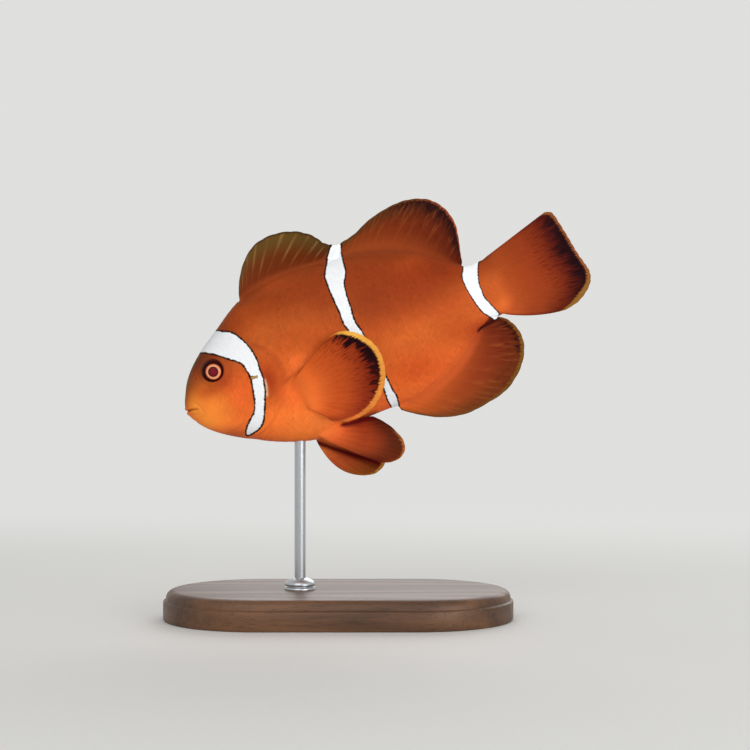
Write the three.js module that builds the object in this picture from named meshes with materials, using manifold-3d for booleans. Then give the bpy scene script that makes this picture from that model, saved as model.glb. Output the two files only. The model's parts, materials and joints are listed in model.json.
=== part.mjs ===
// A life-size clownfish of the spine-cheeked kind, nose down in a slow swim, on a small display stand.
// Units are millimetres. The fish is shaped upright in a frame of its own: x runs from the snout to the
// tail, z is up, and y is to the fish's right. The last section tilts it and sets it on its rod.
import * as THREE from "three";
import { mergeVertices } from "three/addons/utils/BufferGeometryUtils.js";
import Module from "manifold-3d";

const wasm = await Module();
wasm.setup();

// ---------------------------------------------------------------- driving dimensions
const NOSE_X = -0.75; // foremost point of the upper lip
const STEM_END_X = 77; // where the tail fin takes over from the tail stem
const HEAD_END_X = 25; // the head ends just behind the gill covers
const TRUNK_END_X = 61;
const GAP = 0.3; // between neighbouring pieces
const NOSE_DOWN_DEG = 20;
const TAIL_SWING = 2.2; // how far the tail's tip is carried to the right
const SWING_START_X = 40;
const SWING_LENGTH = 60;

const EYE_X = 8.75;
const EYE_Z = 4.05;
const EYE_RADIUS = 2.95; // of the eyeball, seen from the side
const EYE_DEPTH = 1.9; // half its thickness from side to side
const EYE_SINK = 0.95; // its centre lies this far under the cheek's surface

const BASE_LENGTH = 82;
const BASE_WIDTH = 46;
const BASE_HEIGHT = 7;
const BASE_EDGE = 1.2; // rounding of the base's upper and lower edges
const FIN_CLEARANCE = 26; // from the base to the lowest fin tip
const ROD_RADIUS = 1.3;
const ROD_FISH_X = 22; // the rod meets the belly just ahead of the pelvic fins
const COLLAR_RADIUS = 3.6;
const COLLAR_HEIGHT = 2.6;
const ROD_OFFSET_X = -9; // the rod stands ahead of the base's centre, which is under the fish's weight

const COLOURS = {
  flank: 0xc65a26,
  face: 0xe0702b,
  spinyDorsal: 0x62300f,
  fin: 0xa9461c,
  eye: 0x2b0905,
  base: 0x4a2e1c,
  steel: 0xb9bcc0,
};

// ---------------------------------------------------------------- curves
// A smooth curve through [x, value] pairs: cubic pieces whose slope at a pair is its neighbours' slope.
// stretch bends the x axis, so that a round end such as the snout needs no extra points.
function curveThrough(pairs, stretch = (x) => x) {
  const knots = pairs.map(([x, value]) => [stretch(x), value]);
  const last = knots.length - 1;
  const slopes = knots.map((_, i) => {
    const [x0, v0] = knots[Math.max(i - 1, 0)];
    const [x1, v1] = knots[Math.min(i + 1, last)];
    return (v1 - v0) / (x1 - x0);
  });
  return (x) => {
    const s = Math.min(Math.max(stretch(x), knots[0][0]), knots[last][0]);
    const i = Math.min(Math.max(knots.findIndex(([end]) => end >= s) - 1, 0), last - 1);
    const [x0, v0] = knots[i];
    const [x1, v1] = knots[i + 1];
    const width = x1 - x0;
    const t = (s - x0) / width;
    return (
      v0 * (1 + 2 * t) * (1 - t) ** 2 +
      v1 * t * t * (3 - 2 * t) +
      width * (slopes[i] * t * (1 - t) ** 2 - slopes[i + 1] * t * t * (1 - t))
    );
  };
}

const fromNose = (x) => Math.sqrt(Math.max(x - NOSE_X, 0));
const mix = (a, b, t) => a + (b - a) * t;
const smooth = (t) => {
  const clamped = THREE.MathUtils.clamp(t, 0, 1);
  return clamped * clamped * (3 - 2 * clamped);
};
const steps = (from, to, count) => Array.from({ length: count + 1 }, (_, i) => mix(from, to, i / count));

// ---------------------------------------------------------------- the body's form
// Back and belly lines without the fins, the widest line between them, and half the width there.
const backLine = curveThrough(
  [
    [NOSE_X, -2.7], [0.2, 0.6], [1.8, 3.7], [4.8, 7.2], [12, 12.5], [20, 17.5],
    [30, 19.8], [42, 19.5], [52, 17.6], [62, 13.8], [70, 8.7], [73, 7.3], [STEM_END_X, 7.1],
  ],
  fromNose,
);
const bellyLine = curveThrough(
  [
    [NOSE_X, -2.7], [0.2, -5.5], [2.6, -8.6], [11, -14.2], [20, -18.2], [28, -20],
    [36, -19.1], [44, -18.7], [52, -18.7], [62, -14.8], [70, -9.2], [73.5, -7.5], [STEM_END_X, -7.05],
  ],
  fromNose,
);
const widestLine = curveThrough([
  [NOSE_X, -2.7], [3, -1.9], [8, -0.8], [16, -0.6], [30, 0], [50, 0.2], [STEM_END_X, 0],
]);
const halfWidth = curveThrough(
  [
    [NOSE_X, 0], [0.2, 2.4], [2.6, 4.2], [8.5, 6.3], [14, 7.5], [20, 8.3], [27, 8.6],
    [36, 8.2], [45, 7.2], [55, 5.5], [64, 3.7], [70, 2.5], [74, 1.7], [STEM_END_X, 1.2],
  ],
  fromNose,
);
// How sharply the section closes towards the back and the belly: 1 is a plain ellipse.
const backPower = curveThrough([[0, 1], [12, 1.15], [30, 1.4], [60, 1.35], [STEM_END_X, 1.1]]);
const bellyPower = curveThrough([[0, 1], [12, 1.05], [34, 1], [60, 1.3], [STEM_END_X, 1.1]]);

const tailSwing = (x) => TAIL_SWING * (Math.max(x - SWING_START_X, 0) / SWING_LENGTH) ** 2;

// A point of the skin: angle is 0 on the back, a quarter turn on the left side and a half turn on the belly.
// grow moves the surface out by about that much.
function skinPoint(x, angle, grow = 0) {
  const [up, out] = [Math.cos(angle), Math.sin(angle)];
  const middle = widestLine(x);
  const height = up > 0 ? backLine(x) + grow - middle : middle - bellyLine(x) + grow;
  const power = up > 0 ? backPower(x) : bellyPower(x);
  const side = (halfWidth(x) + grow) * Math.sign(out) * Math.abs(out) ** power;
  return new THREE.Vector3(x, tailSwing(x) - side, middle + height * up);
}

// The left side's skin at a place seen from the side.
function skinAt(x, z, grow = 0) {
  const middle = widestLine(x);
  const height = z > middle ? backLine(x) - middle : middle - bellyLine(x);
  return skinPoint(x, Math.acos(THREE.MathUtils.clamp((z - middle) / height, -1, 1)), grow);
}

// ---------------------------------------------------------------- meshes and solids
// One closed mesh from loops of points that follow each other, its two ends closed by fans.
function stack(loops) {
  const around = loops[0].length;
  const ends = [loops[0], loops[loops.length - 1]].map((loop) =>
    loop.reduce((sum, point) => sum.add(point), new THREE.Vector3()).divideScalar(around),
  );
  const points = [...loops.flat(), ...ends];
  const [firstEnd, lastEnd] = [points.length - 2, points.length - 1];
  const faces = [];
  for (let i = 0; i < around; i++) {
    const next = (i + 1) % around;
    faces.push([firstEnd, next, i]);
    for (let k = 1; k < loops.length; k++) {
      const [a, b] = [(k - 1) * around, k * around];
      faces.push([a + i, a + next, b + i], [a + next, b + next, b + i]);
    }
    const edge = (loops.length - 1) * around;
    faces.push([lastEnd, edge + i, edge + next]);
  }
  return faced(points, faces);
}

// The mesh of these triangles, turned so that they face out.
function faced(points, faces) {
  const volume = faces.reduce(
    (sum, [a, b, c]) => sum + points[a].dot(new THREE.Vector3().crossVectors(points[b], points[c])),
    0,
  );
  const index = faces.flatMap(([a, b, c]) => (volume < 0 ? [a, c, b] : [a, b, c]));
  return new THREE.BufferGeometry().setFromPoints(points).setIndex(index);
}

function solid(geometry) {
  const bare = geometry.clone();
  bare.deleteAttribute("normal");
  bare.deleteAttribute("uv");
  const merged = mergeVertices(bare, 1e-4);
  const vertProperties = new Float32Array(merged.attributes.position.array);
  const triVerts = new Uint32Array(merged.index.array);
  return new wasm.Manifold(new wasm.Mesh({ numProp: 3, vertProperties, triVerts }));
}

// The largest body of a solid, as a geometry: a cut may leave a sliver apart.
function geometryOf(shape) {
  const largest = shape.decompose().reduce((a, b) => (a.volume() > b.volume() ? a : b));
  const { vertProperties, triVerts } = largest.getMesh();
  return new THREE.BufferGeometry()
    .setAttribute("position", new THREE.BufferAttribute(new Float32Array(vertProperties), 3))
    .setIndex(new THREE.BufferAttribute(new Uint32Array(triVerts), 1));
}

// ---------------------------------------------------------------- the body, in lengths
const AROUND = 24; // points around a section of the body

function bodyLength(fromX, toX, count, grow = 0) {
  const [s0, s1] = [fromNose(fromX), fromNose(toX)];
  const loops = steps(s0, s1, count).map((s) =>
    Array.from({ length: AROUND }, (_, i) => skinPoint(NOSE_X + s * s, (2 * Math.PI * i) / AROUND, grow)),
  );
  return solid(stack(loops));
}

// A prism through the body whose outline is drawn on the side view, on one side (-1 left, 1 right) or both (0).
function sidePrism(outline, side) {
  const shape = new THREE.Shape(outline.map(([x, z]) => new THREE.Vector2(x, z)));
  const depth = side ? 14 : 28;
  const prism = new THREE.ExtrudeGeometry(shape, { depth, bevelEnabled: false, steps: 1 });
  prism.rotateX(Math.PI / 2); // the extrusion now runs to -y
  const front = { "-1": -1.2, 0: 14, 1: 15.2 }[side];
  return solid(prism.translate(0, front, 0));
}

function smoothOutline(points, count) {
  const curve = new THREE.CatmullRomCurve3(points.map(([x, z]) => new THREE.Vector3(x, 0, z)), true, "catmullrom");
  return curve.getPoints(count).slice(0, -1).map((p) => [p.x, p.z]);
}

const grown = bodyLength(NOSE_X + 0.01, STEM_END_X, 32, GAP);
const wholeHead = bodyLength(NOSE_X + 0.01, HEAD_END_X - GAP, 17);
const trunk = bodyLength(HEAD_END_X, TRUNK_END_X - GAP, 9);
const tailStem = bodyLength(TRUNK_END_X, STEM_END_X - GAP, 6);

// Gill covers: curved plates let into the sides of the head, with the free rear edge as their rim.
const PLATE_DEPTH = 1.1;
const COVER_MIDDLE = [18.6, -3.6];
const COVER_OUTLINE = [
  [15.4, 5.6], [19.8, 5.4], [22.9, 2.4], [24.1, -2], [23.2, -6], [20.8, -9.6], [17.4, -12.4], [13.2, -13.6],
  [12.2, -11.4], [14.2, -8], [15.2, -3.4], [14.8, 1.4],
];
const coverGap = COVER_OUTLINE.map(([x, z]) => {
  const [dx, dz] = [x - COVER_MIDDLE[0], z - COVER_MIDDLE[1]];
  const out = 1 + GAP / Math.hypot(dx, dz);
  return [COVER_MIDDLE[0] + dx * out, COVER_MIDDLE[1] + dz * out];
});
const underPlate = bodyLength(NOSE_X + 2, HEAD_END_X + 4, 9, -PLATE_DEPTH);
const underGap = bodyLength(NOSE_X + 2, HEAD_END_X + 4, 9, -PLATE_DEPTH - GAP);

function gillCover(side) {
  return wholeHead.intersect(sidePrism(smoothOutline(COVER_OUTLINE, 20), side)).subtract(underPlate);
}
const coverRecess = (side) => sidePrism(smoothOutline(coverGap, 20), side).subtract(underGap);

// Lower jaw: from the mouth's slit down to the throat.
const JAW_OUTLINE = [[-3, -3.25], [2.5, -3.2], [5.2, -6], [6.6, -15], [-3, -15]];
const JAW_GAP_OUTLINE = [[-3, -2.95], [2.65, -2.9], [5.5, -5.9], [6.9, -15], [-3, -15]];

// Eyeballs: flattened balls that stand a little proud of the cheeks.
function eyeball(side, grow = 0) {
  const centre = skinAt(EYE_X, EYE_Z, -EYE_SINK);
  const ball = new THREE.SphereGeometry(1, 16, 9);
  ball.scale(EYE_RADIUS + grow, EYE_RADIUS + grow, EYE_DEPTH + grow); // flattened along its own z
  const outward = skinAt(EYE_X, EYE_Z, 1).sub(centre).setY(-1).multiply(new THREE.Vector3(0.12, 1, 0.3));
  ball.applyQuaternion(new THREE.Quaternion().setFromUnitVectors(new THREE.Vector3(0, 0, 1), outward.normalize()));
  ball.translate(centre.x, centre.y, centre.z);
  if (side > 0) mirror(ball);
  return solid(ball);
}

// Mirrors a geometry to the other side of the fish, faces still facing out.
function mirror(geometry) {
  geometry.scale(1, -1, 1);
  const index = geometry.index.array;
  for (let i = 0; i < index.length; i += 3) [index[i], index[i + 1]] = [index[i + 1], index[i]];
  return geometry;
}

const skull = wholeHead
  .subtract(sidePrism(JAW_GAP_OUTLINE, 0))
  .subtract(coverRecess(-1))
  .subtract(coverRecess(1))
  .subtract(eyeball(-1, GAP))
  .subtract(eyeball(1, GAP));
const lowerJaw = wholeHead.intersect(sidePrism(JAW_OUTLINE, 0));

// ---------------------------------------------------------------- fins
// A fin is a fan of rays. Guide rays, from front to rear, give their foot and tip; a smooth surface runs
// through them. Each ray stands proud of the membrane, and the blade thickens towards its foot.
const FOOT_DEPTH = 1.6; // how far a blade reaches into the body before it is trimmed

function fan(guides) {
  const feet = new THREE.CatmullRomCurve3(guides.map((g) => g.foot), false, "catmullrom");
  const tips = new THREE.CatmullRomCurve3(guides.map((g) => g.tip), false, "catmullrom");
  const bows = new THREE.CatmullRomCurve3(guides.map((g) => g.bow ?? new THREE.Vector3()), false, "catmullrom");
  return (u, v) => {
    const foot = feet.getPoint(u);
    const bow = bows.getPoint(u).multiplyScalar(4 * v * (1 - Math.max(v, 0)));
    return foot.clone().lerp(tips.getPoint(u), v).add(bow);
  };
}

function blade(guides, { rays, rows, foot, edge, ridge, sunk = FOOT_DEPTH, normal }) {
  const surface = fan(guides);
  const across = normal ?? ((u, v) => {
    const along = surface(u, v + 0.02).sub(surface(u, v - 0.02));
    const over = surface(Math.min(u + 0.02, 1), v).sub(surface(Math.max(u - 0.02, 0), v));
    return along.cross(over).normalize();
  });
  const loops = steps(0, 1, rays * 2).map((u, column) => {
    const length = surface(u, 0).distanceTo(surface(u, 1));
    const heights = [-sunk / length, ...steps(0, 1, rows)];
    const onRay = column % 2; // rays and the membrane between them take turns
    const faces = [1, -1].map((side) =>
      heights.map((v) => {
        const thick = mix(edge, foot, (1 - smooth(v * length * 0.22)) * smooth(length * 0.5));
        const proud = onRay ? ridge * (1 - smooth(v * v)) : 0;
        return surface(u, v).addScaledVector(across(u, v), side * (thick + proud));
      }),
    );
    return [...faces[0], ...faces[1].reverse()];
  });
  return solid(stack(loops));
}

const flatNormal = () => new THREE.Vector3(0, 1, 0);

// Guides [foot x, tip x, tip z] of a fin on the middle line; line is the back or the belly.
// lean carries the tips of the rear rays sideways.
function middleGuides(line, inward, rows, lean = 0) {
  return rows.map(([footX, tipX, tipZ], i) => ({
    foot: new THREE.Vector3(footX, tailSwing(footX), line(footX) + inward),
    tip: new THREE.Vector3(tipX, tailSwing(tipX) + lean * smooth(i / (rows.length - 1)), tipZ),
  }));
}

const spinyDorsalGuides = middleGuides(backLine, -0.2, [
  [20, 20.3, 18.6], [20.8, 21.6, 21.8], [22.2, 24.2, 25.6], [24.4, 27.8, 28.4], [27.4, 32.6, 29.2],
  [30.8, 37.6, 28.2], [34.4, 41.2, 25.9], [38.4, 43.2, 23.3], [42, 44.9, 22.2], [45.2, 45.9, 21.8],
]);
const softDorsalGuides = middleGuides(backLine, -0.2, [
  [45.6, 46.3, 21.7], [47.6, 50.5, 22.7], [50.4, 55, 24.7], [53.6, 60, 25.9], [57, 65, 26.1],
  [60.4, 69.6, 24.6], [63.6, 72.6, 21.4], [66.6, 73.8, 17.4], [69, 73.4, 13.4], [70.8, 72.7, 10.4],
  [71.8, 72.2, 8.1],
]);
const analGuides = middleGuides(bellyLine, 0.2, [
  [46.6, 46.9, -19.9], [48.2, 50.6, -22.4], [50.8, 55.2, -24.7], [54.2, 60.8, -25.9], [57.8, 66.4, -25.3],
  [61.2, 72, -23.8], [64.2, 76.6, -20.2], [66.8, 79.1, -16], [68.8, 79.4, -12.2], [70.2, 77.9, -9.4],
  [71, 75.4, -8.1], [71.5, 72.4, -8.3],
], -1);

// The tail fin's rays spread from the end of the stem. The lowest one bows down.
const TAIL_TIPS = [
  [94.6, 12.4], [96.2, 11.7], [97, 9], [97.7, 5.8], [98.2, 3], [98.8, 0.2], [99.5, -2.4], [99.9, -4.4],
  [99.3, -6.6], [97.5, -8.6], [94.8, -10.2], [91.4, -11],
];
const tailGuides = TAIL_TIPS.map(([x, z], i) => {
  const share = i / (TAIL_TIPS.length - 1);
  return {
    foot: new THREE.Vector3(STEM_END_X, tailSwing(STEM_END_X), mix(6.9, -6.85, share)),
    tip: new THREE.Vector3(x, tailSwing(x), z),
    bow: new THREE.Vector3(0, 0, -0.8 * share ** 6),
  };
});

// Pectoral fin: a broad fan from the side of the breast, held back and away from the flank.
const PECTORAL_TIPS = [
  [36.5, 1.5], [39.6, 2.2], [42.6, 1.2], [45.2, -0.9], [47, -3.7], [47.5, -7], [46.9, -10.6], [45, -13.8],
  [42, -16.4], [38.4, -17.8], [34.6, -17.9], [31.4, -16.9],
];
const PECTORAL_SPREAD = 6.4;
const pectoralGuides = PECTORAL_TIPS.map(([x, z], i) => {
  const share = i / (PECTORAL_TIPS.length - 1);
  const foot = skinAt(mix(26.8, 27.6, share), mix(-4, -12.4, share));
  return {
    foot,
    tip: new THREE.Vector3(x, foot.y - PECTORAL_SPREAD * Math.sin(Math.PI * mix(0.18, 0.9, share)), z),
    bow: new THREE.Vector3(0, -0.9, 0),
  };
});

// Pelvic fins: the left one is laid back, the right one hangs lower and further forward.
function pelvicGuides(side, footX, tips, leadingBow) {
  return tips.map(([x, out, z], i) => {
    const share = i / (tips.length - 1);
    const foot = skinAt(mix(footX, footX + 5.6, share), mix(-19.35, -18.7, share));
    foot.y *= -side;
    return {
      foot,
      tip: new THREE.Vector3(x, side * out, z),
      bow: new THREE.Vector3(-0.6, side * 0.7, -0.8).multiplyScalar(leadingBow * (1 - share) ** 2),
    };
  });
}
const pelvicLeftGuides = pelvicGuides(-1, 27, [
  [38.2, 8.4, -29.4], [41.1, 8.6, -30.2], [43.8, 8.2, -29.4], [45, 7.2, -27], [44.2, 6, -24.2],
  [42.4, 4.8, -21.8], [39.9, 3.6, -19.9],
], 0.2);
const pelvicRightGuides = pelvicGuides(1, 25.6, [
  [31.6, 7.8, -31], [34.2, 8.2, -32], [37, 8, -32], [39.4, 7.1, -30.2], [40.4, 6, -27.4],
  [39.8, 4.8, -24], [38.2, 3.8, -20.6],
], 1.9);

const medianBlade = { foot: 0.95, edge: 0.3, ridge: 0.12, normal: flatNormal };
const pairedBlade = { foot: 0.8, edge: 0.3, ridge: 0.12 };
const spinyDorsal = blade(spinyDorsalGuides, { ...medianBlade, rays: 10, rows: 3, ridge: 0.2 }).subtract(grown);
const softDorsal = blade(softDorsalGuides, { ...medianBlade, rays: 14, rows: 3 }).subtract(grown);
const analFin = blade(analGuides, { ...medianBlade, rays: 13, rows: 3 }).subtract(grown);
const tailFin = blade(tailGuides, { ...medianBlade, foot: 1.05, rays: 16, rows: 4, sunk: 0 });
const pectoralLeft = blade(pectoralGuides, { ...pairedBlade, rays: 14, rows: 3 }).subtract(grown);
const pelvicLeft = blade(pelvicLeftGuides, { ...pairedBlade, rays: 6, rows: 4 }).subtract(grown);
const pelvicRight = blade(pelvicRightGuides, { ...pairedBlade, rays: 6, rows: 4 }).subtract(grown);

// ---------------------------------------------------------------- the fish, tilted and placed
const part = new THREE.Group();
const fish = new THREE.Group();
part.add(fish);

const surface = (color, roughness = 0.45, metalness = 0) =>
  new THREE.MeshStandardMaterial({ color, roughness, metalness });

function addPiece(parent, name, geometry, material) {
  const piece = new THREE.Mesh(geometry, material);
  piece.name = name;
  parent.add(piece);
  return piece;
}

const flank = surface(COLOURS.flank);
const face = surface(COLOURS.face);
const fin = surface(COLOURS.fin, 0.5);
const eye = surface(COLOURS.eye, 0.1);

addPiece(fish, "head", geometryOf(skull), face);
addPiece(fish, "lower_jaw", geometryOf(lowerJaw), face);
addPiece(fish, "gill_cover_left", geometryOf(gillCover(-1)), face);
addPiece(fish, "gill_cover_right", geometryOf(gillCover(1)), face);
addPiece(fish, "eye_left", geometryOf(eyeball(-1)), eye);
addPiece(fish, "eye_right", geometryOf(eyeball(1)), eye);
addPiece(fish, "trunk", geometryOf(trunk), flank);
addPiece(fish, "tail_stem", geometryOf(tailStem), flank);
addPiece(fish, "dorsal_fin_spiny", geometryOf(spinyDorsal), surface(COLOURS.spinyDorsal, 0.5));
addPiece(fish, "dorsal_fin_soft", geometryOf(softDorsal), fin);
addPiece(fish, "anal_fin", geometryOf(analFin), fin);
addPiece(fish, "tail_fin", geometryOf(tailFin), fin);
addPiece(fish, "pectoral_fin_left", geometryOf(pectoralLeft), fin);
addPiece(fish, "pectoral_fin_right", mirror(geometryOf(pectoralLeft)), fin);
addPiece(fish, "pelvic_fin_left", geometryOf(pelvicLeft), fin);
addPiece(fish, "pelvic_fin_right", geometryOf(pelvicRight), fin);

// The lowest fin tip hangs FIN_CLEARANCE above the base, and the belly's rod point stands over the rod.
fish.rotation.y = THREE.MathUtils.degToRad(-NOSE_DOWN_DEG);
fish.updateMatrix();
const turned = (point) => point.clone().applyMatrix4(fish.matrix);
const rodTop = turned(new THREE.Vector3(ROD_FISH_X, 0, bellyLine(ROD_FISH_X)));
const lowest = new THREE.Box3().setFromBufferAttribute(
  geometryOf(pelvicRight).applyMatrix4(fish.matrix).getAttribute("position"),
).min.z;
fish.position.set(ROD_OFFSET_X - rodTop.x, 0, BASE_HEIGHT + FIN_CLEARANCE - lowest);
fish.updateMatrix();

// ---------------------------------------------------------------- the display stand
function standBase() {
  const straight = (BASE_LENGTH - BASE_WIDTH) / 2;
  const radius = BASE_WIDTH / 2 - BASE_EDGE;
  const outline = new THREE.Shape();
  outline.absarc(straight, 0, radius, -Math.PI / 2, Math.PI / 2);
  outline.absarc(-straight, 0, radius, Math.PI / 2, (3 * Math.PI) / 2);
  return new THREE.ExtrudeGeometry(outline, {
    depth: BASE_HEIGHT - 2 * BASE_EDGE,
    curveSegments: 12,
    bevelThickness: BASE_EDGE,
    bevelSize: BASE_EDGE,
    bevelSegments: 2,
  }).translate(0, 0, BASE_EDGE);
}

function standCollar() {
  const bore = ROD_RADIUS + GAP;
  const profile = [
    [bore, 0], [COLLAR_RADIUS, 0], [COLLAR_RADIUS, COLLAR_HEIGHT - 0.8], [COLLAR_RADIUS - 0.8, COLLAR_HEIGHT],
    [bore, COLLAR_HEIGHT], [bore, 0],
  ].map(([r, z]) => new THREE.Vector2(r, z));
  return new THREE.LatheGeometry(profile, 20).rotateX(Math.PI / 2);
}

function standRod() {
  const foot = BASE_HEIGHT + GAP;
  const top = turned(new THREE.Vector3(ROD_FISH_X, 0, bellyLine(ROD_FISH_X) + 3)).z;
  const rod = new THREE.CylinderGeometry(ROD_RADIUS, ROD_RADIUS, top - foot, 16).rotateX(Math.PI / 2);
  rod.translate(ROD_OFFSET_X, 0, (top + foot) / 2);
  const fishForm = geometryOf(grown).applyMatrix4(fish.matrix);
  return geometryOf(solid(rod).subtract(solid(fishForm)));
}

const wood = surface(COLOURS.base, 0.4);
const steel = surface(COLOURS.steel, 0.3, 1);
addPiece(part, "stand_base", standBase(), wood);
addPiece(part, "stand_collar", standCollar(), steel).position.set(ROD_OFFSET_X, 0, BASE_HEIGHT + GAP);
addPiece(part, "stand_rod", standRod(), steel);

export default part;
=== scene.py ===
# %% [markdown]
# # A clownfish in a slow swim, on a display stand
# A museum shows a small reef fish as a painted model on a rod. This lesson builds one from its packed
# solids: a single skin for the body and all its fins, thin overlapping scales, glossy eyes, and a dark
# wooden base. The solids only say how big each part is and where it sits. Every shape that shows is made
# here, in mesh code.

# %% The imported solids
import json
import math
from functools import partial

import bmesh
import bpy
import numpy as np
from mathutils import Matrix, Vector
from mathutils.kdtree import KDTree

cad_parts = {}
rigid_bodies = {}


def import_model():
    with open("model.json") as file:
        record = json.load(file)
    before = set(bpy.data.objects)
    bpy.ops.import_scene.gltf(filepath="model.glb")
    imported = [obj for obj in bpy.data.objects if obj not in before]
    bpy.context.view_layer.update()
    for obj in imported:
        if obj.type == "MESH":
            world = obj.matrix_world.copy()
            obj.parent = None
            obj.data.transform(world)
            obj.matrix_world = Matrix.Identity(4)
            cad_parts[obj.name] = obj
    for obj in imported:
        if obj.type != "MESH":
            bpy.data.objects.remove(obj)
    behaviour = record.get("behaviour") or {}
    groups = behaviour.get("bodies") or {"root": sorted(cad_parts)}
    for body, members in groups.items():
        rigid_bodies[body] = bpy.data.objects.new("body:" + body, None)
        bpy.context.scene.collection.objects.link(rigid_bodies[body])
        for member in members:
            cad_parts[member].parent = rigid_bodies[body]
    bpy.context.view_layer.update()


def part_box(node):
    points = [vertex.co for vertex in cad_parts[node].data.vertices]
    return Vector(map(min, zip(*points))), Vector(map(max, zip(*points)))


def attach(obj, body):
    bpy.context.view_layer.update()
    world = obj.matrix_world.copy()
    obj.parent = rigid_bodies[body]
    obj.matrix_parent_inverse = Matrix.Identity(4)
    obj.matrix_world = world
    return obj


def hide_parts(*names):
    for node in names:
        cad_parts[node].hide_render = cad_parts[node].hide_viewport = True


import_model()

MM = 0.001

# %% [markdown]
# ## A frame for the fish
# The fish swims nose down, but it's far easier to shape it upright, in millimetres: x runs from the snout to
# the tail, z is up, and y is to the fish's right. One function then turns it to the stand's frame. The two
# eyeballs tell where it goes, because the point half-way between them is known in both frames.

# %% From the fish's frame to the stand's
NOSE_DOWN = math.radians(20)
ALONG = np.array([math.cos(NOSE_DOWN), 0, math.sin(NOSE_DOWN)])
UPWARD = np.array([-math.sin(NOSE_DOWN), 0, math.cos(NOSE_DOWN)])
EYE_X, EYE_Z = 8.87, 3.78  # where the eyes show on the side view
EYES_AT = (8.75, 3.62)  # x and z of the eyeballs' centres, which lie deeper

eye_corners = np.array([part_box(side) for side in ("eye_left", "eye_right")])
between_eyes = eye_corners.mean((0, 1))
ORIGIN = between_eyes - (EYES_AT[0] * ALONG + EYES_AT[1] * UPWARD) * MM


def to_stand(points):
    """Points of the fish's own frame, in mm, as points of the stand's frame, in metres."""
    points = np.asarray(points, float)
    turned = points[:, :1] * ALONG + points[:, 2:] * UPWARD
    turned[:, 1] = points[:, 1]
    return turned * MM + ORIGIN


print("the snout is at", np.round(to_stand([[0, 0, 0]])[0] / MM, 2), "mm")

# %% [markdown]
# ## The camera
# A long lens from the side keeps the fish's proportions true, as a field guide's picture does. The lens and
# the width of the view together give the distance: sensor width over focal length is view width over
# distance.

# %% The camera, square to the fish's left side
LENS, SENSOR = 85, 36  # mm
VIEW_WIDTH = 0.176  # m
VIEW_CENTRE = ORIGIN + np.array([44.7, 0, 5.6]) * MM  # behind the snout and above it
camera_data = bpy.data.cameras.new("side_camera")
camera_data.lens, camera_data.sensor_width = LENS, SENSOR
camera_data.clip_start, camera_data.clip_end = 0.01, 20
camera = bpy.data.objects.new("side_camera", camera_data)
camera.location = VIEW_CENTRE - np.array([0, VIEW_WIDTH * LENS / SENSOR, 0])
camera.rotation_euler = (math.pi / 2, 0, 0)
bpy.context.scene.collection.objects.link(camera)
bpy.context.scene.camera = camera
print("the camera stands", round(VIEW_WIDTH * LENS / SENSOR, 3), "m away, at a height of",
      round(camera.location.z, 3), "m")

# %% [markdown]
# ## Curves to draw with
# A fish's outline is a few smooth lines. `spline` runs a smooth curve through given values, and the same
# function later carries fin rays and colours. `smooth` is the soft step that blends one thing into the next.


# %% Splines, steps and distances
def spline(knots, values):
    """A smooth curve through values at knots: cubic pieces whose slope at a knot is its neighbours' slope."""
    knots, values = np.asarray(knots, float), np.asarray(values, float)
    gaps = np.diff(knots)
    slopes = np.empty_like(values)
    slopes[1:-1] = ((values[2:] - values[:-2]).T / (knots[2:] - knots[:-2])).T
    slopes[0] = (values[1] - values[0]) / gaps[0]
    slopes[-1] = (values[-1] - values[-2]) / gaps[-1]

    def curve(at):
        at = np.clip(np.asarray(at, float), knots[0], knots[-1])
        piece = np.clip(np.searchsorted(knots, at, side="right") - 1, 0, len(gaps) - 1)
        gap = gaps[piece]
        t = (at - knots[piece]) / gap
        if values.ndim > 1:
            t, gap = t[..., None], gap[..., None]
        return (values[piece] * (1 + 2 * t) * (1 - t) ** 2 + values[piece + 1] * t * t * (3 - 2 * t)
                + gap * (slopes[piece] * t * (1 - t) ** 2 - slopes[piece + 1] * t * t * (1 - t)))

    return curve


def smooth(t):
    t = np.clip(t, 0, 1)
    return t * t * (3 - 2 * t)


def mound(distance, width):
    """1 at distance 0, fading to nothing over about twice the width."""
    return np.exp(-(np.asarray(distance) / width) ** 2)


def through(points, per_gap=6, closed=False):
    """A denser, smooth run of points through the given ones."""
    points = np.asarray(points, float)
    if closed:
        points = np.vstack((points[-2:], points, points[:3]))
    curve = spline(np.arange(len(points)), points)
    first, last = (2, len(points) - 3) if closed else (0, len(points) - 1)
    dense = curve(np.linspace(first, last, (last - first) * per_gap + 1))
    return dense[:-1] if closed else dense


def distance_to(path, x, z):
    """From a path drawn on the side view: the distance, negative on its right, and how far along it is."""
    path = np.asarray(path, float)
    nearest, side, along = np.full(x.shape, np.inf), np.ones(x.shape), np.zeros(x.shape)
    lengths = np.hypot(*np.diff(path, axis=0).T)
    starts = np.concatenate(([0], np.cumsum(lengths)))
    for (ax, az), (bx, bz), start, length in zip(path[:-1], path[1:], starts, lengths):
        dx, dz = (bx - ax) / length, (bz - az) / length
        t = np.clip((x - ax) * dx + (z - az) * dz, 0, length)
        away = np.hypot(x - ax - t * dx, z - az - t * dz)
        closer = away < nearest
        nearest = np.where(closer, away, nearest)
        side = np.where(closer, np.sign(dx * (z - az) - dz * (x - ax)), side)
        along = np.where(closer, (start + t) / starts[-1], along)
    return nearest * side, along


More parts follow.
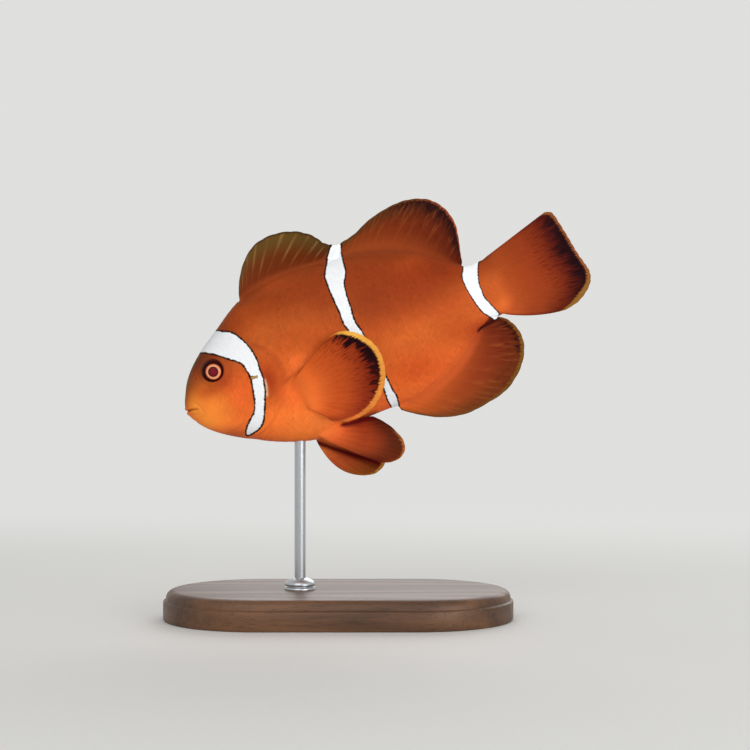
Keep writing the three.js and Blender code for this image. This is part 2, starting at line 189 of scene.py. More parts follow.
def depth_inside(outline, x, z):
    """How many mm a place on the side view lies inside a closed outline, negative outside it."""
    nearest, inside = np.full(x.shape, np.inf), np.zeros(x.shape, bool)
    for (ax, az), (bx, bz) in zip(outline, np.roll(outline, -1, axis=0)):
        dx, dz = bx - ax, bz - az
        t = np.clip(((x - ax) * dx + (z - az) * dz) / (dx * dx + dz * dz), 0, 1)
        nearest = np.minimum(nearest, np.hypot(x - ax - t * dx, z - az - t * dz))
        if dz:
            inside ^= ((az > z) != (bz > z)) & (x < dx * (z - az) / dz + ax)
    return np.where(inside, nearest, -nearest)


# %% [markdown]
# ## The body's form
# The body is a stack of egg-shaped sections from snout to tail: a back line, a belly line, the line where
# it's widest, and half its width. It's a grid of rows round the body, each spaced evenly along its section,
# so that every quad has about the same size. Rows lie closer on the head, where the detail is.

# %% The lines of the body
NOSE_X, NOSE_Z = -0.75, -2.7
BODY_END = 80.6
SWING, SWING_START, SWING_LENGTH = 2.2, 40, 60  # mm to the fish's right, from where, and over how long


def from_nose(x):
    return np.sqrt(np.maximum(np.asarray(x, float) - NOSE_X, 0))


def body_line(pairs):
    curve = spline(from_nose([x for x, _ in pairs]), [value for _, value in pairs])
    return lambda x: curve(from_nose(x))


back = body_line([
    (NOSE_X, NOSE_Z), (0.2, 0.6), (1.8, 3.7), (4.8, 7.2), (12, 12.5), (20, 17.5), (30, 19.8), (42, 19.5),
    (52, 17.6), (62, 13.8), (70, 8.5), (72.8, 6.95), (77, 7.0), (BODY_END, 6.6)])
belly = body_line([
    (NOSE_X, NOSE_Z), (0.2, -5.5), (2.6, -8.6), (11, -14.2), (20, -18.2), (28, -20), (36, -19.1),
    (44, -18.7), (52, -18.7), (62, -14.8), (70, -9.2), (73.5, -7.5), (77, -7.05), (BODY_END, -6.5)])
half_width = body_line([
    (NOSE_X, 0), (0.2, 2.4), (2.6, 4.2), (8.5, 6.3), (14, 7.5), (20, 8.3), (27, 8.6), (36, 8.2), (45, 7.2),
    (55, 5.5), (64, 3.7), (70, 2.5), (74, 1.7), (77, 1.2), (BODY_END, 0.25)])
middle = spline([NOSE_X, 3, 8, 16, 30, 50, 77], [NOSE_Z, -1.9, -0.8, -0.6, 0, 0.2, 0])
# how the sections narrow to the back and the belly: 1 is an ellipse, and more is leaner
back_power = spline([0, 12, 30, 60, 77], [1, 1.15, 1.4, 1.35, 1.1])
belly_power = spline([0, 12, 34, 60, 77], [1, 1.05, 1, 1.3, 1.1])


def section(x, angle):
    """The plain body's half width and height there; angle is 0 on the back and pi on the belly."""
    upper = np.cos(angle) > 0
    height = np.where(upper, back(x) - middle(x), middle(x) - belly(x))
    power = np.where(upper, back_power(x), belly_power(x))
    return half_width(x) * np.abs(np.sin(angle)) ** power, middle(x) + height * np.cos(angle)


def tail_swing(x):
    """The tail is carried a little to the fish's right."""
    return SWING * (np.maximum(np.asarray(x, float) - SWING_START, 0) / SWING_LENGTH) ** 2


# %% The left half of the body as an even grid
HALF_ROUND = 100  # quads from back to belly
HEAD_PACE, TRUNK_PACE = 0.23, 0.55  # mm between rows
HEAD_ENDS, TRUNK_STARTS = 22, 34  # between these the pace changes

fine = NOSE_X + np.linspace(0.02, from_nose(BODY_END), 6000) ** 2
pace = np.interp(fine, [HEAD_ENDS, TRUNK_STARTS], [HEAD_PACE, TRUNK_PACE])
rows_passed = np.cumsum(np.hypot(np.gradient(fine), np.gradient(back(fine))) / pace)
station = np.interp(np.arange(1, rows_passed[-1]), rows_passed, fine)
angle = np.linspace(0, math.pi, 241)
half = np.empty((len(station), HALF_ROUND + 1, 3))
girth = np.empty(len(station))  # from back to belly, along the skin
flank_at = np.empty(len(station))  # share of that at which the body is widest
for i, x in enumerate(station):
    out, height = section(x, angle)
    along = np.concatenate(([0], np.cumsum(np.hypot(np.diff(out), np.diff(height)))))
    evenly = np.linspace(0, along[-1], HALF_ROUND + 1)
    half[i] = np.column_stack((np.full(HALF_ROUND + 1, x), -np.interp(evenly, along, out),
                               np.interp(evenly, along, height)))
    girth[i] = along[-1]
    flank_at[i] = along[len(angle) // 2] / along[-1]


def normals_of(grid):
    """Outward directions of the left half's grid."""
    normals = np.cross(np.gradient(grid, axis=1), np.gradient(grid, axis=0))
    normals[:, [0, -1], 1] = 0  # the halves meet smoothly on the middle plane
    return normals / np.maximum(np.linalg.norm(normals, axis=2, keepdims=True), 1e-12)


print("body grid:", half.shape[:2], "widest girth:", round(2 * girth.max(), 1), "mm")

# %% [markdown]
# ## Relief of the head
# Lips, nostrils, eye sockets, gill covers and a low spine on the cheek give the fish its face. Each one is a
# line or a spot on the side view, and how far the skin stands out depends only on the distance from it. So a
# few short formulas carve them all.

# %% Lips, gill covers, sockets and the pectoral lobe
COAT = 0.2  # room for the scales, between the skin and the solids' surface
MOUTH = through([(-1.3, -3.0), (0.3, -3.05), (1.5, -3.15), (2.5, -3.55)])
LIP_FOLD = through([(-0.2, -0.9), (1.3, -1.2), (2.6, -2.2), (3.3, -3.9), (3.2, -5.4)])
JAW_FOLD = through([(-0.4, -5.6), (1.2, -5.9), (3.0, -5.6), (4.4, -5.9)])
GILL_EDGE = through([(18.3, 7.0), (21.4, 4.9), (23.5, 1.7), (24.2, -2), (23.2, -6), (20.7, -9.6),
                     (17.2, -12.5), (13.0, -14.0), (9.5, -13.7)])
CHEEK_EDGE = through([(14.0, 4.2), (15.3, 0.6), (15.2, -3.8), (13.6, -7.8), (10.4, -10.6), (6.5, -10.8)])
CHEEK_BONE = through([(4.2, 0.4), (6.2, -0.5), (8.6, -0.9), (11.2, -0.2)])
CHEEK_SPINE = through([(12.6, 1.7), (14.6, 0.4), (16.8, -0.8), (18.3, -1.15)])
GILL_FOLD = through([(18.5, -13.4), (14.5, -15.3), (10.5, -13.9)])
GILL_FOLD_ABOVE = through([(15.6, -12.2), (12.4, -13.1), (8.6, -12.2)])
NOSTRIL_X, NOSTRIL_Z = 4.3, 3.5
LOBE_X, LOBE_Z = 27.4, -8.2  # the fleshy foot of the pectoral fin

# line, mm beside it, mm that the skin stands out there, half width in mm, share over which each end fades
RIDGES_AND_FOLDS = [
    (LIP_FOLD, 0, -0.13, 0.3, 0.25), (JAW_FOLD, 0, -0.10, 0.35, 0.3), (CHEEK_BONE, 0, -0.12, 0.28, 0.3),
    (CHEEK_BONE, -0.7, 0.10, 0.5, 0.3), (CHEEK_SPINE, 0, 0.22, 0.32, 0.2), (GILL_FOLD, 0, -0.12, 0.3, 0.3),
    (GILL_FOLD_ABOVE, 0, -0.12, 0.3, 0.3)]
# line, half width of its step, height in front and how far that reaches, depth behind and the same, fade
COVER_EDGES = [(GILL_EDGE, 0.14, 0.30, 3.2, 0.11, 0.9, 0.16), (CHEEK_EDGE, 0.16, 0.14, 1.6, 0.11, 0.7, 0.2)]


def ends(along, soft=0.12):
    """Fades something out towards both ends of a line."""
    return smooth(along / soft) * smooth((1 - along) / soft)


def relief(x, z):
    """How far the skin stands out from the plain form, in mm."""
    gape, along = distance_to(MOUTH, x, z)
    gape = np.abs(gape)
    out = (0.20 * mound(gape - 0.62, 0.42) * (1 - 0.75 * smooth((along - 0.5) / 0.5))  # lips, fuller in front
           - 0.40 * mound(gape, 0.2) * (1 - 0.6 * smooth((along - 0.75) / 0.25)))  # the slit between them
    for line, beside, rise, width, fade in RIDGES_AND_FOLDS:
        away, along = distance_to(line, x, z)
        out += rise * mound(away - beside, width) * ends(along, fade)
    for line, lip, height, reach, depth, reach_behind, fade in COVER_EDGES:
        away, along = distance_to(line, x, z)  # negative in front of the free edge
        step = smooth((away + lip) / (2 * lip))
        out += ends(along, fade) * (height * np.exp(np.minimum(away, 0) / reach) * (1 - step)
                                    - depth * np.exp(-np.maximum(away, 0) / reach_behind) * step)
    eye = np.hypot(x - EYE_X, z - EYE_Z)
    out += 0.17 * mound(eye - 2.95, 0.32) - 0.10 * mound(eye - 3.8, 0.5)  # the eye's rim, and a dip round it
    out -= 1.5 * (1 - smooth((eye - 1.9) / 0.85))  # its socket
    nostril = np.hypot(x - NOSTRIL_X, z - NOSTRIL_Z)
    out += 0.10 * mound(nostril - 0.42, 0.2) - 0.35 * mound(nostril, 0.25)
    return out + 0.55 * mound(x - LOBE_X, 1.7) * mound(z - LOBE_Z, 4.4)


plain_normals = normals_of(half)
raised = relief(half[..., 0], half[..., 2])
half += plain_normals * (raised - COAT)[..., None]
skin_normals = normals_of(half)
print("relief: from", round(raised.min(), 2), "to", round(raised.max(), 2), "mm")

# %% [markdown]
# ## Fins as fans of rays
# Every fin is a thin membrane held by rays that start at the body and fork on their way to the margin. A few
# guide rays give each fin's plan; the surface between them is a spline, and the ray pattern is a ridge that
# repeats along it and splits in two. Each blade is closed and reaches into the body, ready to be joined to
# it.

# %% The fan surface and its blade
FOOT_DEPTH = 1.6  # how far a blade reaches into the body


def quads(index):
    """The quads of a grid of point numbers."""
    return np.stack((index[:-1, :-1], index[1:, :-1], index[1:, 1:], index[:-1, 1:]), axis=-1).reshape(-1, 4)


def strip(one, other):
    """The quads between two rows of point numbers."""
    return quads(np.column_stack((one, other)))


def ray_profile(phase, v, forked):
    """Height of a ray's ridge, 0 to 1: phase is -0.5 to 0.5 across it, and v runs from foot to tip."""
    spread = 0.25 * smooth((v - 0.35) / 0.5) * forked
    width = 0.15 - 0.04 * smooth((v - 0.3) / 0.5) * forked
    return np.maximum(mound(phase - spread, width), mound(phase + spread, width))


def blade(guides, rays, per_ray=6, pitch=0.64, foot=0.75, flare=2.6, ridge=0.11, web=0.09, forked=1,
          flat=False, scallop=0.12, flutter=0.12, ray_start=2):
    """A closed fin blade: its points and faces, and for each point its place on the fan.

    In mm: pitch is a quad's length, web, ridge and foot are half the blade's thickness between the rays, what
    a ray adds, and half the thickness at the foot, which thins out over flare; rays show from ray_start on.
    """
    foot_of, tip_of, bow_of = (spline(np.arange(len(guides)), [g[k] for g in guides]) for k in range(3))
    columns = rays * per_ray + 1
    u = np.linspace(0, 1, columns)
    at = u * (len(guides) - 1)
    feet, tips, bows = foot_of(at), tip_of(at), bow_of(at)
    length = np.linalg.norm(tips - feet, axis=1)
    ray = u * rays
    phase = ray - np.floor(np.minimum(ray, rays - 1e-6)) - 0.5
    tips = tips - (tips - feet) * (scallop * (2 * np.abs(phase)) ** 2 / length)[:, None]
    rows = max(8, int(length.max() / pitch))
    t = np.concatenate(([-1], np.linspace(0, 1, rows)))[None, :, None]
    v = np.where(t < 0, -FOOT_DEPTH / np.maximum(length, FOOT_DEPTH)[:, None, None], t)
    sheet = feet[:, None] + (tips - feet)[:, None] * v + bows[:, None] * 4 * v * (1 - np.maximum(v, 0))
    if flat:
        across = np.zeros_like(sheet)
        across[..., 1] = 1
    else:
        across = np.cross(np.gradient(sheet, axis=1), np.gradient(sheet, axis=0))
        across /= np.linalg.norm(across, axis=2, keepdims=True)
    v = v[..., 0] + 0 * length[:, None]
    from_foot, from_tip = v * length[:, None], (1 - v) * length[:, None]
    from_side = np.minimum(u, 1 - u)[:, None] * rays
    rays_up = ray_profile(phase[:, None], v, forked)
    stand = web + (ridge * rays_up * (1 - 0.45 * smooth(v)) * smooth(from_tip / 0.8)
                   * smooth(from_foot / ray_start))
    stand += (foot - web) * (1 - smooth(from_foot / flare)) * smooth(length / 2)[:, None]
    stand *= 0.35 + 0.65 * smooth(from_tip / 0.5) * smooth(from_side * 1.5)
    wave = flutter * smooth(v) * np.sin(ray * 1.9)[:, None] * smooth(from_side / 2)
    points = np.stack([sheet + across * (wave + sign * stand)[..., None] for sign in (1, -1)]).reshape(-1, 3)
    one, other = np.arange(len(points)).reshape(2, columns, rows + 1)  # the blade's two sides
    faces = [quads(one), quads(other)[:, ::-1],
             strip(other[:, 0], one[:, 0]), strip(one[:, -1], other[:, -1]),
             strip(other[0], one[0]), strip(one[-1], other[-1])]
    info = {"ray": ray[:, None] + 0 * v, "v": v, "u": u[:, None] + 0 * v, "from_tip": np.maximum(from_tip, 0),
            "ridge": rays_up}
    return points, np.concatenate(faces), {name: np.tile(value.ravel(), 2) for name, value in info.items()}


# %% The plans of the fins
ON_BACK, ON_BELLY = -0.3, 0.3  # mm from the outline to a fin's foot
TAIL_FOOT_X, TAIL_FOOT_TOP, TAIL_FOOT_HEIGHT = 77, 6.85, 13.65
PECTORAL_FOOT = (26.8, -4), (27.6, -12.4)  # from its upper to its lower end
PELVIC_FOOT_Z, PELVIC_FOOT_LENGTH, PELVIC_FOOT_RISE = -19.35, 5.6, 0.95


def middle_fin(line, inward, rows, lean=0):
    """Guide rays of a fin on the back or belly line, from rows of foot x, tip x and tip z."""
    share = smooth(np.linspace(0, 1, len(rows)))
    return [((fx, tail_swing(fx), line(fx) + inward), (tx, tail_swing(tx) + lean * s, tz), (0, 0, 0))
            for (fx, tx, tz), s in zip(rows, share)]


def side_of_body(x, z):
    """The left flank's point at a place on the side view."""
    height = np.where(z > middle(x), back(x) - middle(x), middle(x) - belly(x))
    out, _ = section(x, np.arccos(np.clip((z - middle(x)) / height, -1, 1)))
    return np.array([x, -float(out), z])


spiny_dorsal = middle_fin(back, ON_BACK, [
    (20, 20.3, 18.6), (20.4, 21.6, 21.8), (21.2, 24.2, 25.6), (22.7, 27.8, 28.4), (25.1, 32.6, 29.2),
    (28.4, 37.6, 28.2), (32.6, 41.2, 25.9), (37.2, 43.2, 23.3), (41.4, 44.9, 22.2), (46.2, 46.7, 21.75)])
soft_dorsal = middle_fin(back, ON_BACK, [
    (45.2, 46.0, 21.75), (46.6, 50.5, 22.7), (48.6, 55, 24.7), (51.4, 60, 25.9), (54.8, 65, 26.1),
    (58.6, 69.6, 24.6), (62.4, 72.6, 21.4), (66, 73.8, 17.4), (68.8, 73.4, 13.4), (70.8, 72.7, 10.4),
    (71.8, 72.2, 7.6)])
anal = middle_fin(belly, ON_BELLY, [
    (46.4, 46.9, -19.9), (46.8, 50.6, -22.4), (47.6, 55.2, -24.7), (49.8, 60.8, -25.9), (53.4, 66.4, -25.3),
    (57.8, 72, -23.8), (62.4, 76.6, -20.2), (66.2, 79.1, -16), (68.8, 79.4, -12.2), (70.2, 78.1, -9.0),
    (71, 76.2, -7.2), (71.8, 73.8, -6.5)], lean=-1)

TAIL_TIPS = [(94.6, 12.4), (96.2, 11.7), (97, 9), (97.7, 5.8), (98.2, 3), (98.8, 0.2), (99.5, -2.4),
             (99.9, -4.4), (99.3, -6.6), (97.5, -8.6), (94.8, -10.2), (91.4, -11)]
share = np.linspace(0, 1, len(TAIL_TIPS))
tail = [((TAIL_FOOT_X, tail_swing(TAIL_FOOT_X), TAIL_FOOT_TOP - TAIL_FOOT_HEIGHT * s),
         (x, tail_swing(x), z), (0, 0, -0.8 * s ** 6)) for (x, z), s in zip(TAIL_TIPS, share)]

PECTORAL_TIPS = [(36.5, 1.5), (39.5, 2.1), (42.3, 1.1), (44.7, -1.0), (46.4, -3.8), (46.9, -7), (46.3, -10.6),
                 (44.6, -13.7), (41.8, -16.4), (38.4, -17.8), (34.6, -17.9), (31.4, -16.9)]
pectoral = []
for (x, z), s in zip(PECTORAL_TIPS, share):
    root = side_of_body(*np.array(PECTORAL_FOOT[0]) * (1 - s) + np.array(PECTORAL_FOOT[1]) * s)
    spread = 6.4 * math.sin(math.pi * (0.18 + 0.72 * s))  # how far a tip stands off the flank, in mm
    pectoral.append((root, (x, root[1] - spread, z), (0, -0.9, 0)))


def pelvic_fin(side, foot_x, tips, leading_bow):
    """Guide rays of a pelvic fin; side is -1 on the left, and the foremost rays are bowed most."""
    guides = []
    for (x, out, z), s in zip(tips, np.linspace(0, 1, len(tips))):
        root = side_of_body(foot_x + PELVIC_FOOT_LENGTH * s, PELVIC_FOOT_Z + PELVIC_FOOT_RISE * s)
        bow = (np.array([-0.6, side * 0.7, -0.8]) * leading_bow * (1 - s) ** 2
               + np.array([0, side * 0.3, 0.5]) * s ** 4)
        guides.append((root * (1, -side, 1), (x, side * out, z), bow))
    return guides


pelvic_left = pelvic_fin(-1, 27, [
    (38.2, 8.4, -29.4), (41.1, 8.6, -30.2), (43.8, 8.2, -29.4), (45, 7.2, -27), (44.2, 6, -24.2),
    (42.6, 4.8, -21.4), (40.3, 3.6, -18.9)], 0.2)
pelvic_right = pelvic_fin(1, 25.6, [
    (31.6, 7.8, -31), (34.2, 8.2, -32), (37, 8, -32), (39.4, 7.1, -30.2), (40.4, 6, -27.4), (39.8, 4.8, -24),
    (38.2, 3.8, -20.6)], 1.9)

fins = {
    "spiny_dorsal": blade(spiny_dorsal, 13, per_ray=9, ridge=0.17, forked=0, flat=True, scallop=0.15),
    "soft_dorsal": blade(soft_dorsal, 17, per_ray=8, flat=True),
    "anal": blade(anal, 16, per_ray=7, flat=True),
    "tail": blade(tail, 17, foot=0.7, flare=5.5, flat=True),
    "pectoral_left": blade(pectoral, 17, flare=4.5, ray_start=7),
    "pelvic_left": blade(pelvic_left, 6, per_ray=9, foot=0.6, ridge=0.17, ray_start=5),
    "pelvic_right": blade(pelvic_right, 6, per_ray=9, foot=0.6, ridge=0.17, ray_start=5),
}
points, faces, info = fins["pectoral_left"]
fins["pectoral_right"] = (points * (1, -1, 1), faces[:, ::-1], info)
for name, (points, faces, _) in fins.items():
    print(f"{name}: {2 * len(faces)} triangles")

# %% [markdown]
# ## One skin
# On a real fish no seam shows where a fin leaves the body. So the blades are joined to the body with a
# boolean union, which makes one closed surface, and the crease that it leaves is then smoothed away within a
# millimetre. It's done in millimetres, because a union of such fine meshes in metres loses precision.


# %% Meshes from arrays
def new_mesh(name, points, faces):
    mesh = bpy.data.meshes.new(name)
    mesh.from_pydata(np.asarray(points, float).tolist(), [], [list(map(int, face)) for face in faces])
    mesh.validate()
    return mesh


def coordinates(mesh):
    flat = np.empty(len(mesh.vertices) * 3)
    mesh.vertices.foreach_get("co", flat)
    return flat.reshape(-1, 3)


def show(name, mesh):
    piece = bpy.data.objects.new(name, mesh)
    bpy.context.scene.collection.objects.link(piece)
    return piece


def shade_smooth(mesh):
    mesh.polygons.foreach_set("use_smooth", np.ones(len(mesh.polygons), bool))


def show_in_stand(name, mesh):
    """Turns a mesh of the fish's own frame to the stand's, and shows it as a smooth-shaded piece."""
    mesh.vertices.foreach_set("co", to_stand(coordinates(mesh)).ravel())
    shade_smooth(mesh)
    mesh.update()
    return show(name, mesh)


def turned_out(mesh):
    """Turns the faces of a closed mesh so that they look out."""
    work = bmesh.new()
    work.from_mesh(mesh)
    bmesh.ops.recalc_face_normals(work, faces=work.faces)
    if work.calc_volume(signed=True) < 0:
        bmesh.ops.reverse_faces(work, faces=work.faces)
    work.to_mesh(mesh)
    work.free()
    return mesh


def angles(count, start=0):
    """Angles spaced evenly round a circle, the first of them a share of that spacing on."""
    return (np.arange(count) + start) * 2 * math.pi / count


def closed_rings(points, around):
    """The grid of point numbers of a stack of rings of this many points each, closed round."""
    index = np.arange(len(points) // around * around).reshape(-1, around)
    return np.hstack((index, index[:, :1]))


def domed(index, first_point, last_point):
    """The quads of a stack of rings, with a fan of triangles from a point before it and one behind it."""
    ahead = [(first_point, b, a) for a, b in zip(index[0], index[0, 1:])]
    behind = [(last_point, a, b) for a, b in zip(index[-1], index[-1, 1:])]
    return [*quads(index), *ahead, *behind]


# %% The body's own mesh
right_half = half[:, -2:0:-1] * (1, -1, 1)
ring = np.concatenate((half, right_half), axis=1)
ring[..., 1] += tail_swing(ring[..., 0])
body_points = np.vstack((ring.reshape(-1, 3), [[NOSE_X + COAT, 0, NOSE_Z]], [ring[-1].mean(0)]))
index = closed_rings(body_points, ring.shape[1])
nose, end = len(body_points) - 2, len(body_points) - 1
body = show("body", turned_out(new_mesh("body", body_points, domed(index, nose, end))))
print("body:", len(body.data.vertices), "points")

# %% Joining the fins to it
blades = [show(name, turned_out(new_mesh(name, points, faces))) for name, (points, faces, _) in fins.items()]
for other in blades:
    join = body.modifiers.new("join", "BOOLEAN")
    join.operation, join.solver, join.object = "UNION", "MANIFOLD", other
skin_mesh = bpy.data.meshes.new_from_object(body.evaluated_get(bpy.context.evaluated_depsgraph_get()))
for piece in (body, *blades):
    bpy.data.objects.remove(piece)
print("joined skin:", len(skin_mesh.vertices), "points")

# %% Smoothing the creases between fins and body
SAME_POINT = 0.002  # mm
SMOOTHING = ((1.1, 4), (0.7, 6))  # within how many mm of a crease, and how many times


def tree_of(points):
    tree = KDTree(len(points))
    for i, point in enumerate(points):
        tree.insert(point, i)
    tree.balance()
    return tree


skin_at = coordinates(skin_mesh)
source_tree = tree_of(np.vstack([body_points] + [points for points, _, _ in fins.values()]))
found = [source_tree.find(point)[1:] for point in skin_at]
came_from = np.array([index for index, _ in found])
is_new = np.array([away for _, away in found]) > SAME_POINT  # only the union made these, on a crease
crease_tree = tree_of(skin_at[is_new])
crease_distance = np.array([crease_tree.find(point)[2] for point in skin_at])
work = bmesh.new()
work.from_mesh(skin_mesh)
work.verts.ensure_lookup_table()
for reach, times in SMOOTHING:
    near = [work.verts[i] for i in np.flatnonzero(crease_distance < reach)]
    for _ in range(times):
        bmesh.ops.smooth_vert(work, verts=near, factor=0.5, use_axis_x=True, use_axis_y=True, use_axis_z=True)
bmesh.ops.triangulate(work, faces=[face for face in work.faces if len(face.verts) > 4])
work.to_mesh(skin_mesh)
work.free()
print("points on creases:", int(is_new.sum()))

# %% [markdown]
# ## Paint
# A taxidermist paints a fish in layers: a ground shaded from a bright belly to a dark back, soft airbrush
# strokes over it, and hard markings last. Here each layer is a formula of the place on the side view, and
# the result is kept on the points as attributes, so that the skin and every scale on it take up the same
# paint. Some strokes, lines and fin colours are painted light and shade, as noted where each is set.


# %% Colours
def linear(code):
    """An sRGB hex colour as linear red, green and blue."""
    value = np.array([int(code[i:i + 2], 16) for i in (0, 2, 4)]) / 255
    return np.where(value <= 0.04045, value / 12.92, ((value + 0.055) / 1.055) ** 2.4)


def shades(*codes):
    """A smooth run of colours, from 0 to 1."""
    return spline(np.linspace(0, 1, len(codes)), [linear(code) for code in codes])


def blend(under, over, amount):
    return under + (over - under) * np.asarray(amount)[..., None]


COUNTERSHADE = shades("DC6430", "F67A33", "D36529", "CC5C25", "B45422", "994018", "8B3E1B")  # belly to back
BARE = -9  # mm, far outside a bar, band or rim
# Painted shade: the ground is darkened along the feet of the fins, in the crease where the body meets a fin.
FIN_FOOT_SHADE, FIN_FOOT_SHADE_WIDTH = 0.2, 0.9  # the ground's shade along the feet of the fins, and its half width in mm
BACK_FINS_FROM, BELLY_FIN_FROM = 21, 49  # mm from the snout

# x, z, reach along, reach up, colour, strength
AIRBRUSH = {
    "aft body, dusky": (58.8, 5.6, 14.1, 8.5, "8E3214", 0.78),
    "aft body, dark middle": (48.3, 6.7, 5.9, 6.3, "873416", 0.7),
    "rear of the soft dorsal": (67, 8.2, 4.4, 3.2, "8A3416", 0.75),
    "tail stem": (75, -2.0, 5.1, 5.1, "BA5524", 0.8),
    "under the soft dorsal": (60, 12, 4, 1.8, "B8501F", 0.3),
    "low on the aft flank": (64.3, -7, 6, 4, "A84418", 0.55),
    "aft flank glow": (54.6, -4.6, 8.3, 4.2, "D06428", 0.6),
    "aft belly glow": (53.5, -12, 10, 4.6, "B43E18", 0.75),
    # Painted shade: the lowest part of the tail stem, above the anal fin, is darkened.
    "under the tail stem": (70.6, -7.9, 6, 3.2, "8A1E10", 0.6),
    "before the middle bar": (38.2, 11.1, 4.3, 4.9, "913816", 0.6),
    "shoulder glow": (30.6, 4.7, 5.9, 3.7, "B8501E", 0.65),
    "nape": (22.2, 9.1, 4.8, 3.4, "C65D25", 0.6),
    "above the nape": (19.5, 14.2, 4.5, 2.5, "B04C1C", 0.6),
    "top of the shoulder": (29, 18.2, 5, 2, "AE4A1E", 0.7),
    # Painted highlight: the flank just above the pectoral fin's foot is painted brighter.
    "above the pectoral": (28.6, -1.5, 3.6, 2.4, "F47636", 0.65),
    # Painted light: the belly is painted brighter where the pectoral fin's shadow falls on it.
    "painted light under the pectoral": (30.6, -15.8, 3.4, 2.4, "FF9048", 1),
    "dark behind the bar": (20.5, -2.9, 2.9, 4.4, "992E14", 0.8),
    "dark top behind the bar": (22.6, 3.7, 1.9, 1.9, "CF6028", 0.7),
    "gill cover's rear": (24.7, -8.3, 3, 3.6, "F86E31", 0.6),
    "breast": (23.9, -17.2, 8.8, 3.7, "F88238", 0.7),
    "belly, rear": (34.8, -17, 5, 2.5, "F8642C", 0.6),
    "cheek": (12.3, -4.2, 3.9, 5.1, "EF672D", 0.8),
    "cheek, yellower": (6.2, -4.5, 4.1, 4.6, "FA8C37", 0.85),
    "lips": (2.1, -2.9, 1.8, 2.9, "F29738", 0.7),
    "throat": (8.1, -12.2, 4.5, 2, "A75034", 0.6),
    "snout": (1.3, 4.2, 2.3, 3, "80592A", 0.7),
    "forehead": (5.2, 7.6, 4.1, 2.5, "61341A", 0.85),
    "behind the eye": (10.5, 1.1, 2.3, 3.1, "A4361A", 0.6),
    "under the eye": (6.7, -0.4, 2.4, 1.5, "AC4019", 0.6),
    "chin": (2.8, -7.3, 3.4, 2.1, "F89638", 0.6),
    "round the eye": (8.87, 3.78, 3.4, 3.4, "5A2414", 0.5),
}

# places on the side view, half width in mm where it starts and where it ends, colour, strength
# Six of these lines are painted shade and shadows, as noted at each.
SHADED_LINES = {
    # Painted shade in the mouth's slit.
    "mouth": ([(-1.3, -3.0), (0.3, -3.05), (1.5, -3.15), (2.6, -3.5)], 0.2, 0.15, "5A2A10", 0.6),
    # Painted shade along the gill cover's free edge, where it overlaps the body.
    "gill cover's edge": ([(18.3, 7.0), (21.4, 4.9), (23.5, 1.7), (24.2, -2), (23.2, -6)], 0.6, 0.7, "8E3414",
                          0.35),
    "light edge behind the head bar": ([(19.8, -2.0), (19.5, -4.2), (18.8, -6.5)], 0.2, 0.2, "F8DCB4", 0.7),
    # Painted shade in the crease above the pectoral fin's foot.
    "above the pectoral": ([(23.6, -4.6), (25.4, -3.9), (27.8, -3.2), (30.1, -2.3)], 0.35, 0.3, "8E3413",
                           0.45),
    # Painted shadow of the pectoral fin's lower edge on the belly.
    "painted shadow below the pectoral": ([(32, -18.2), (34.5, -18.7), (38, -18.9), (42, -18.9)], 0.5, 1.0, "560710", 0.95),
    # Painted shadow where the left pelvic fin lies over the right one.
    "painted shadow between the pelvic fins": ([(24.2, -19.1), (27.2, -21.7), (29.8, -23.9), (32.6, -26.2), (35.8, -28.5),
                                 (39.6, -31.2)], 0.5, 1.5, "4A0406", 1),
    # Painted shadow in the gap between the tail stem and the anal fin.
    "under the tail stem": ([(69.6, -9), (70.9, -8.2), (73.6, -7.7), (77.2, -6.9)], 0.3, 0.4, "30060A",
                            0.95),
    "upper edge of the tail": ([(76, 6.9), (79.4, 8), (87, 10.4), (93.6, 12.3)], 0.45, 0.6, "4A140A", 0.85),
    "lower edge of the tail": ([(77.5, -7.2), (80.6, -8.5), (84.2, -9.7), (88, -10.6), (91.2, -11)], 0.3, 0.5,
                               "5A1E0C", 0.7),
    "front of the snout": ([(-0.5, -0.8), (0.6, 1.8), (3.2, 6.0), (6.2, 8.6)], 0.8, 1.2, "4E3018", 0.45),
    "tip of the cheek spine": ([(16.8, -0.8), (17.6, -1.0), (19.4, -1.4)], 0.4, 0.5, "A0925A", 1),
}


def body_ground(x, z):
    """The body's ground colour at places on the side view, with its painted light and shade."""
    low, high = belly(x), back(x)
    colour = COUNTERSHADE(np.clip((z - low) / np.maximum(high - low, 0.1), 0, 1))
    for sx, sz, reach_x, reach_z, code, strength in AIRBRUSH.values():
        amount = strength * np.exp(-((x - sx) / reach_x) ** 2 - ((z - sz) / reach_z) ** 2)
        colour = blend(colour, linear(code), amount)
    # painted shade in the crease along the fins' feet
    seam = np.minimum(np.where(x < BACK_FINS_FROM, -BARE, 0) + np.abs(high - z),  # mm from a fin's foot
                      np.where(x < BELLY_FIN_FROM, -BARE, 0) + np.abs(z - low))
    return lined(colour * (1 - FIN_FOOT_SHADE * mound(seam, FIN_FOOT_SHADE_WIDTH))[..., None], x, z)


def lined(colour, x, z):
    """Draws the soft lines over a colour, painted shade and shadows among them."""
    for places, start, end, code, strength in SHADED_LINES.values():
        away, along = distance_to(through(places), x, z)
        width = start + (end - start) * along
        colour = blend(colour, linear(code), strength * mound(away, width) * ends(along))
    return np.maximum(colour, 0)


print(len(AIRBRUSH), "airbrush strokes and", len(SHADED_LINES), "shaded lines")

